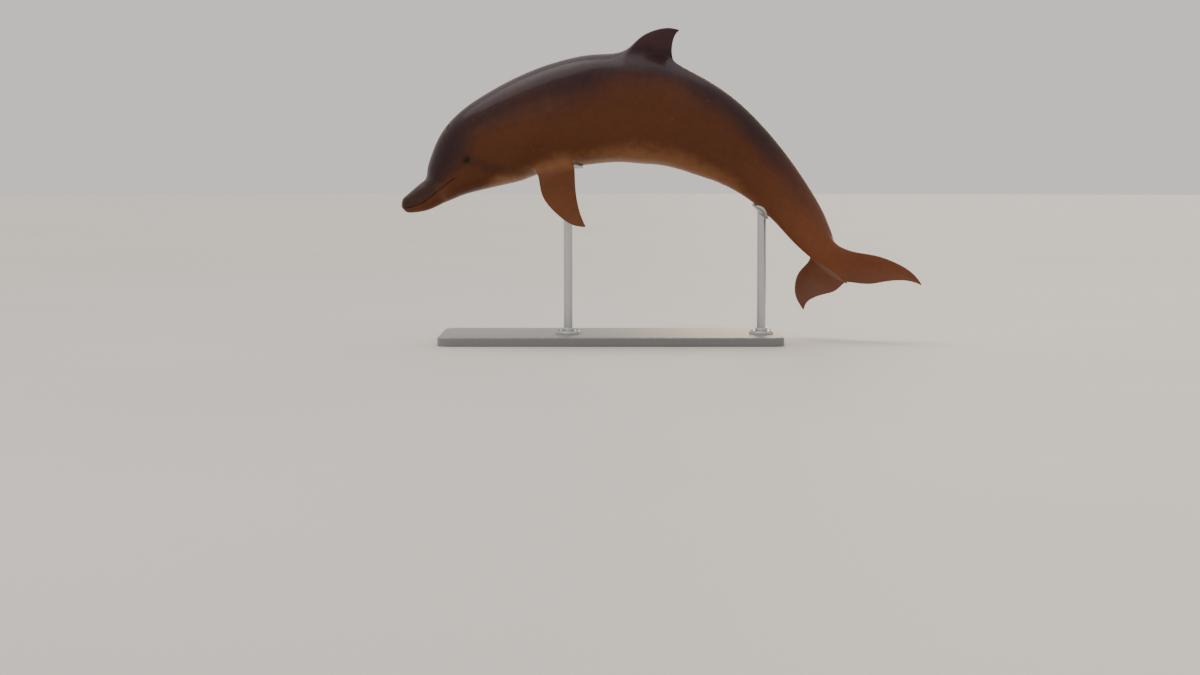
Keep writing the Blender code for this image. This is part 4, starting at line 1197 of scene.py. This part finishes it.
def add_lights(s):
    """A wide even light over everything, and soft boxes above, behind and in front."""
    middle, wide, narrow = (0, 0, 0.9), {"angle": radians(50)}, {"angle": radians(24)}
    above = {"shape": "RECTANGLE", "size": 4.6, "size_y": 1.6}
    front = {"shape": "RECTANGLE", "size": 4.0, "size_y": 3.0}
    add_light("even_light", "SUN", (-1.5, 1.0, 5.0), middle, s.even_strength, (1.0, 0.97, 0.94), **wide)
    add_light("low_light", "SUN", (1.0, 4.2, 1.6), middle, s.low_strength, (1.0, 0.74, 0.46), **narrow)
    add_light("top_light", "AREA", (0.2, 1.5, 4.4), (0.2, 1.499, 0), s.top_power, (0.80, 0.80, 1.0), **above)
    add_light("fill_light", "AREA", (-3.0, -6.0, 3.0), middle, s.fill_power, (1.0, 0.95, 0.9), **front)


class DOLPHIN_OT_skin(bpy.types.Operator):
    """Makes the skin over the flesh, in one piece from beak to flukes"""

    bl_idname = "dolphin.skin"
    bl_label = "Make the skin"

    def execute(self, context):
        s = context.scene.dolphin_skin
        skin = build_skin(s)
        wear(skin, skin_finish(s))
        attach(skin, "root")
        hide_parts(*FLESH)
        return {"FINISHED"}


class DOLPHIN_OT_eyes(bpy.types.Operator):
    """Makes both eyes"""

    bl_idname = "dolphin.eyes"
    bl_label = "Make the eyes"

    def execute(self, context):
        s = context.scene.dolphin_eyes
        material = eye_finish(s)
        for side, place in zip(("left", "right"), EYES):
            eye = build_eye(f"dolphin_eye_{side}", place, s)
            wear(eye, material)
            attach(eye, "root")
            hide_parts(f"eye_{side}")
        return {"FINISHED"}


class DOLPHIN_OT_stand(bpy.types.Operator):
    """Finishes the base and the rods, and adds their collars and screws"""

    bl_idname = "dolphin.stand"
    bl_label = "Finish the stand"

    def execute(self, context):
        s = context.scene.dolphin_stand
        wear(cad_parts["stand_base"], paint_finish(s))
        steel, rubber = steel_finish("brushed_steel", s.steel, (40, 40, 2600)), rubber_finish(s.pad)
        skin = bpy.data.objects["dolphin_skin"]
        for name, station, radius in RODS:
            rod = build_rod(f"{name}_steel", skin, station, radius)
            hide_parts(name)
            collar = build_collar(f"{name}_collar", s)
            collar.data.transform(Matrix.Translation(rod_axis(station) + UP * FOOT_TOP))
            pad = build_pad(f"{name}_pad", skin, station, radius)
            for piece, material in ((rod, steel), (collar, steel), (pad, rubber)):
                wear(piece, material)
                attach(piece, "root")
        screws = build_screws(s, steel_finish("screw_steel", s.screw_steel, (500, 500, 1500)))
        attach(screws, "root")
        return {"FINISHED"}


class DOLPHIN_OT_studio(bpy.types.Operator):
    """Sets up the floor, the lights and the camera"""

    bl_idname = "dolphin.studio"
    bl_label = "Set up the studio"

    def execute(self, context):
        s = context.scene.dolphin_studio
        rim = circle(FLOOR_RADIUS, FLOOR_HEIGHT, FLOOR_POINTS)
        floor = new_object("studio_floor", rim, [range(FLOOR_POINTS)])
        wear(floor, floor_finish(s.floor))
        world = bpy.data.worlds.new("studio_room")
        world.use_nodes = True
        for socket, value in zip(world.node_tree.nodes["Background"].inputs, (s.room, s.room_strength)):
            put(world.node_tree, socket, value)
        context.scene.world = world
        add_lights(s)
        data = bpy.data.cameras.new("camera")
        data.lens, data.sensor_width, data.clip_end = s.lens, SENSOR, SIGHT
        camera = linked("camera", data)
        camera.location = s.camera_place
        camera.rotation_euler = (s.tilt, 0.0, 0.0)
        context.scene.camera = camera
        return {"FINISHED"}


class DOLPHIN_PT_sidebar(bpy.types.Panel):
    """Lists the pieces of the model and their settings"""

    bl_label = "Bottlenose dolphin"
    bl_idname = "DOLPHIN_PT_sidebar"
    bl_space_type = "VIEW_3D"
    bl_region_type = "UI"
    bl_category = "Dolphin"

    def draw(self, context):
        for settings, (group, operator) in PIECES.items():
            box = self.layout.box()
            box.operator(operator.bl_idname)
            for name in group.__annotations__:
                box.prop(getattr(context.scene, settings), name)


PIECES = {
    "dolphin_skin": (DolphinSkinSettings, DOLPHIN_OT_skin),
    "dolphin_eyes": (DolphinEyeSettings, DOLPHIN_OT_eyes),
    "dolphin_stand": (DolphinStandSettings, DOLPHIN_OT_stand),
    "dolphin_studio": (DolphinStudioSettings, DOLPHIN_OT_studio),
}
CLASSES = (*(cls for pair in PIECES.values() for cls in pair), DOLPHIN_PT_sidebar)


def register():
    for cls in CLASSES:
        bpy.utils.register_class(cls)
    for name, (group, _) in PIECES.items():
        setattr(bpy.types.Scene, name, PointerProperty(type=group))


def unregister():
    for name in PIECES:
        delattr(bpy.types.Scene, name)
    for cls in reversed(CLASSES):
        bpy.utils.unregister_class(cls)


def main():
    register()
    bpy.ops.dolphin.skin()
    bpy.ops.dolphin.eyes()
    bpy.ops.dolphin.stand()
    bpy.ops.dolphin.studio()


if __name__ == "__main__":
    main()
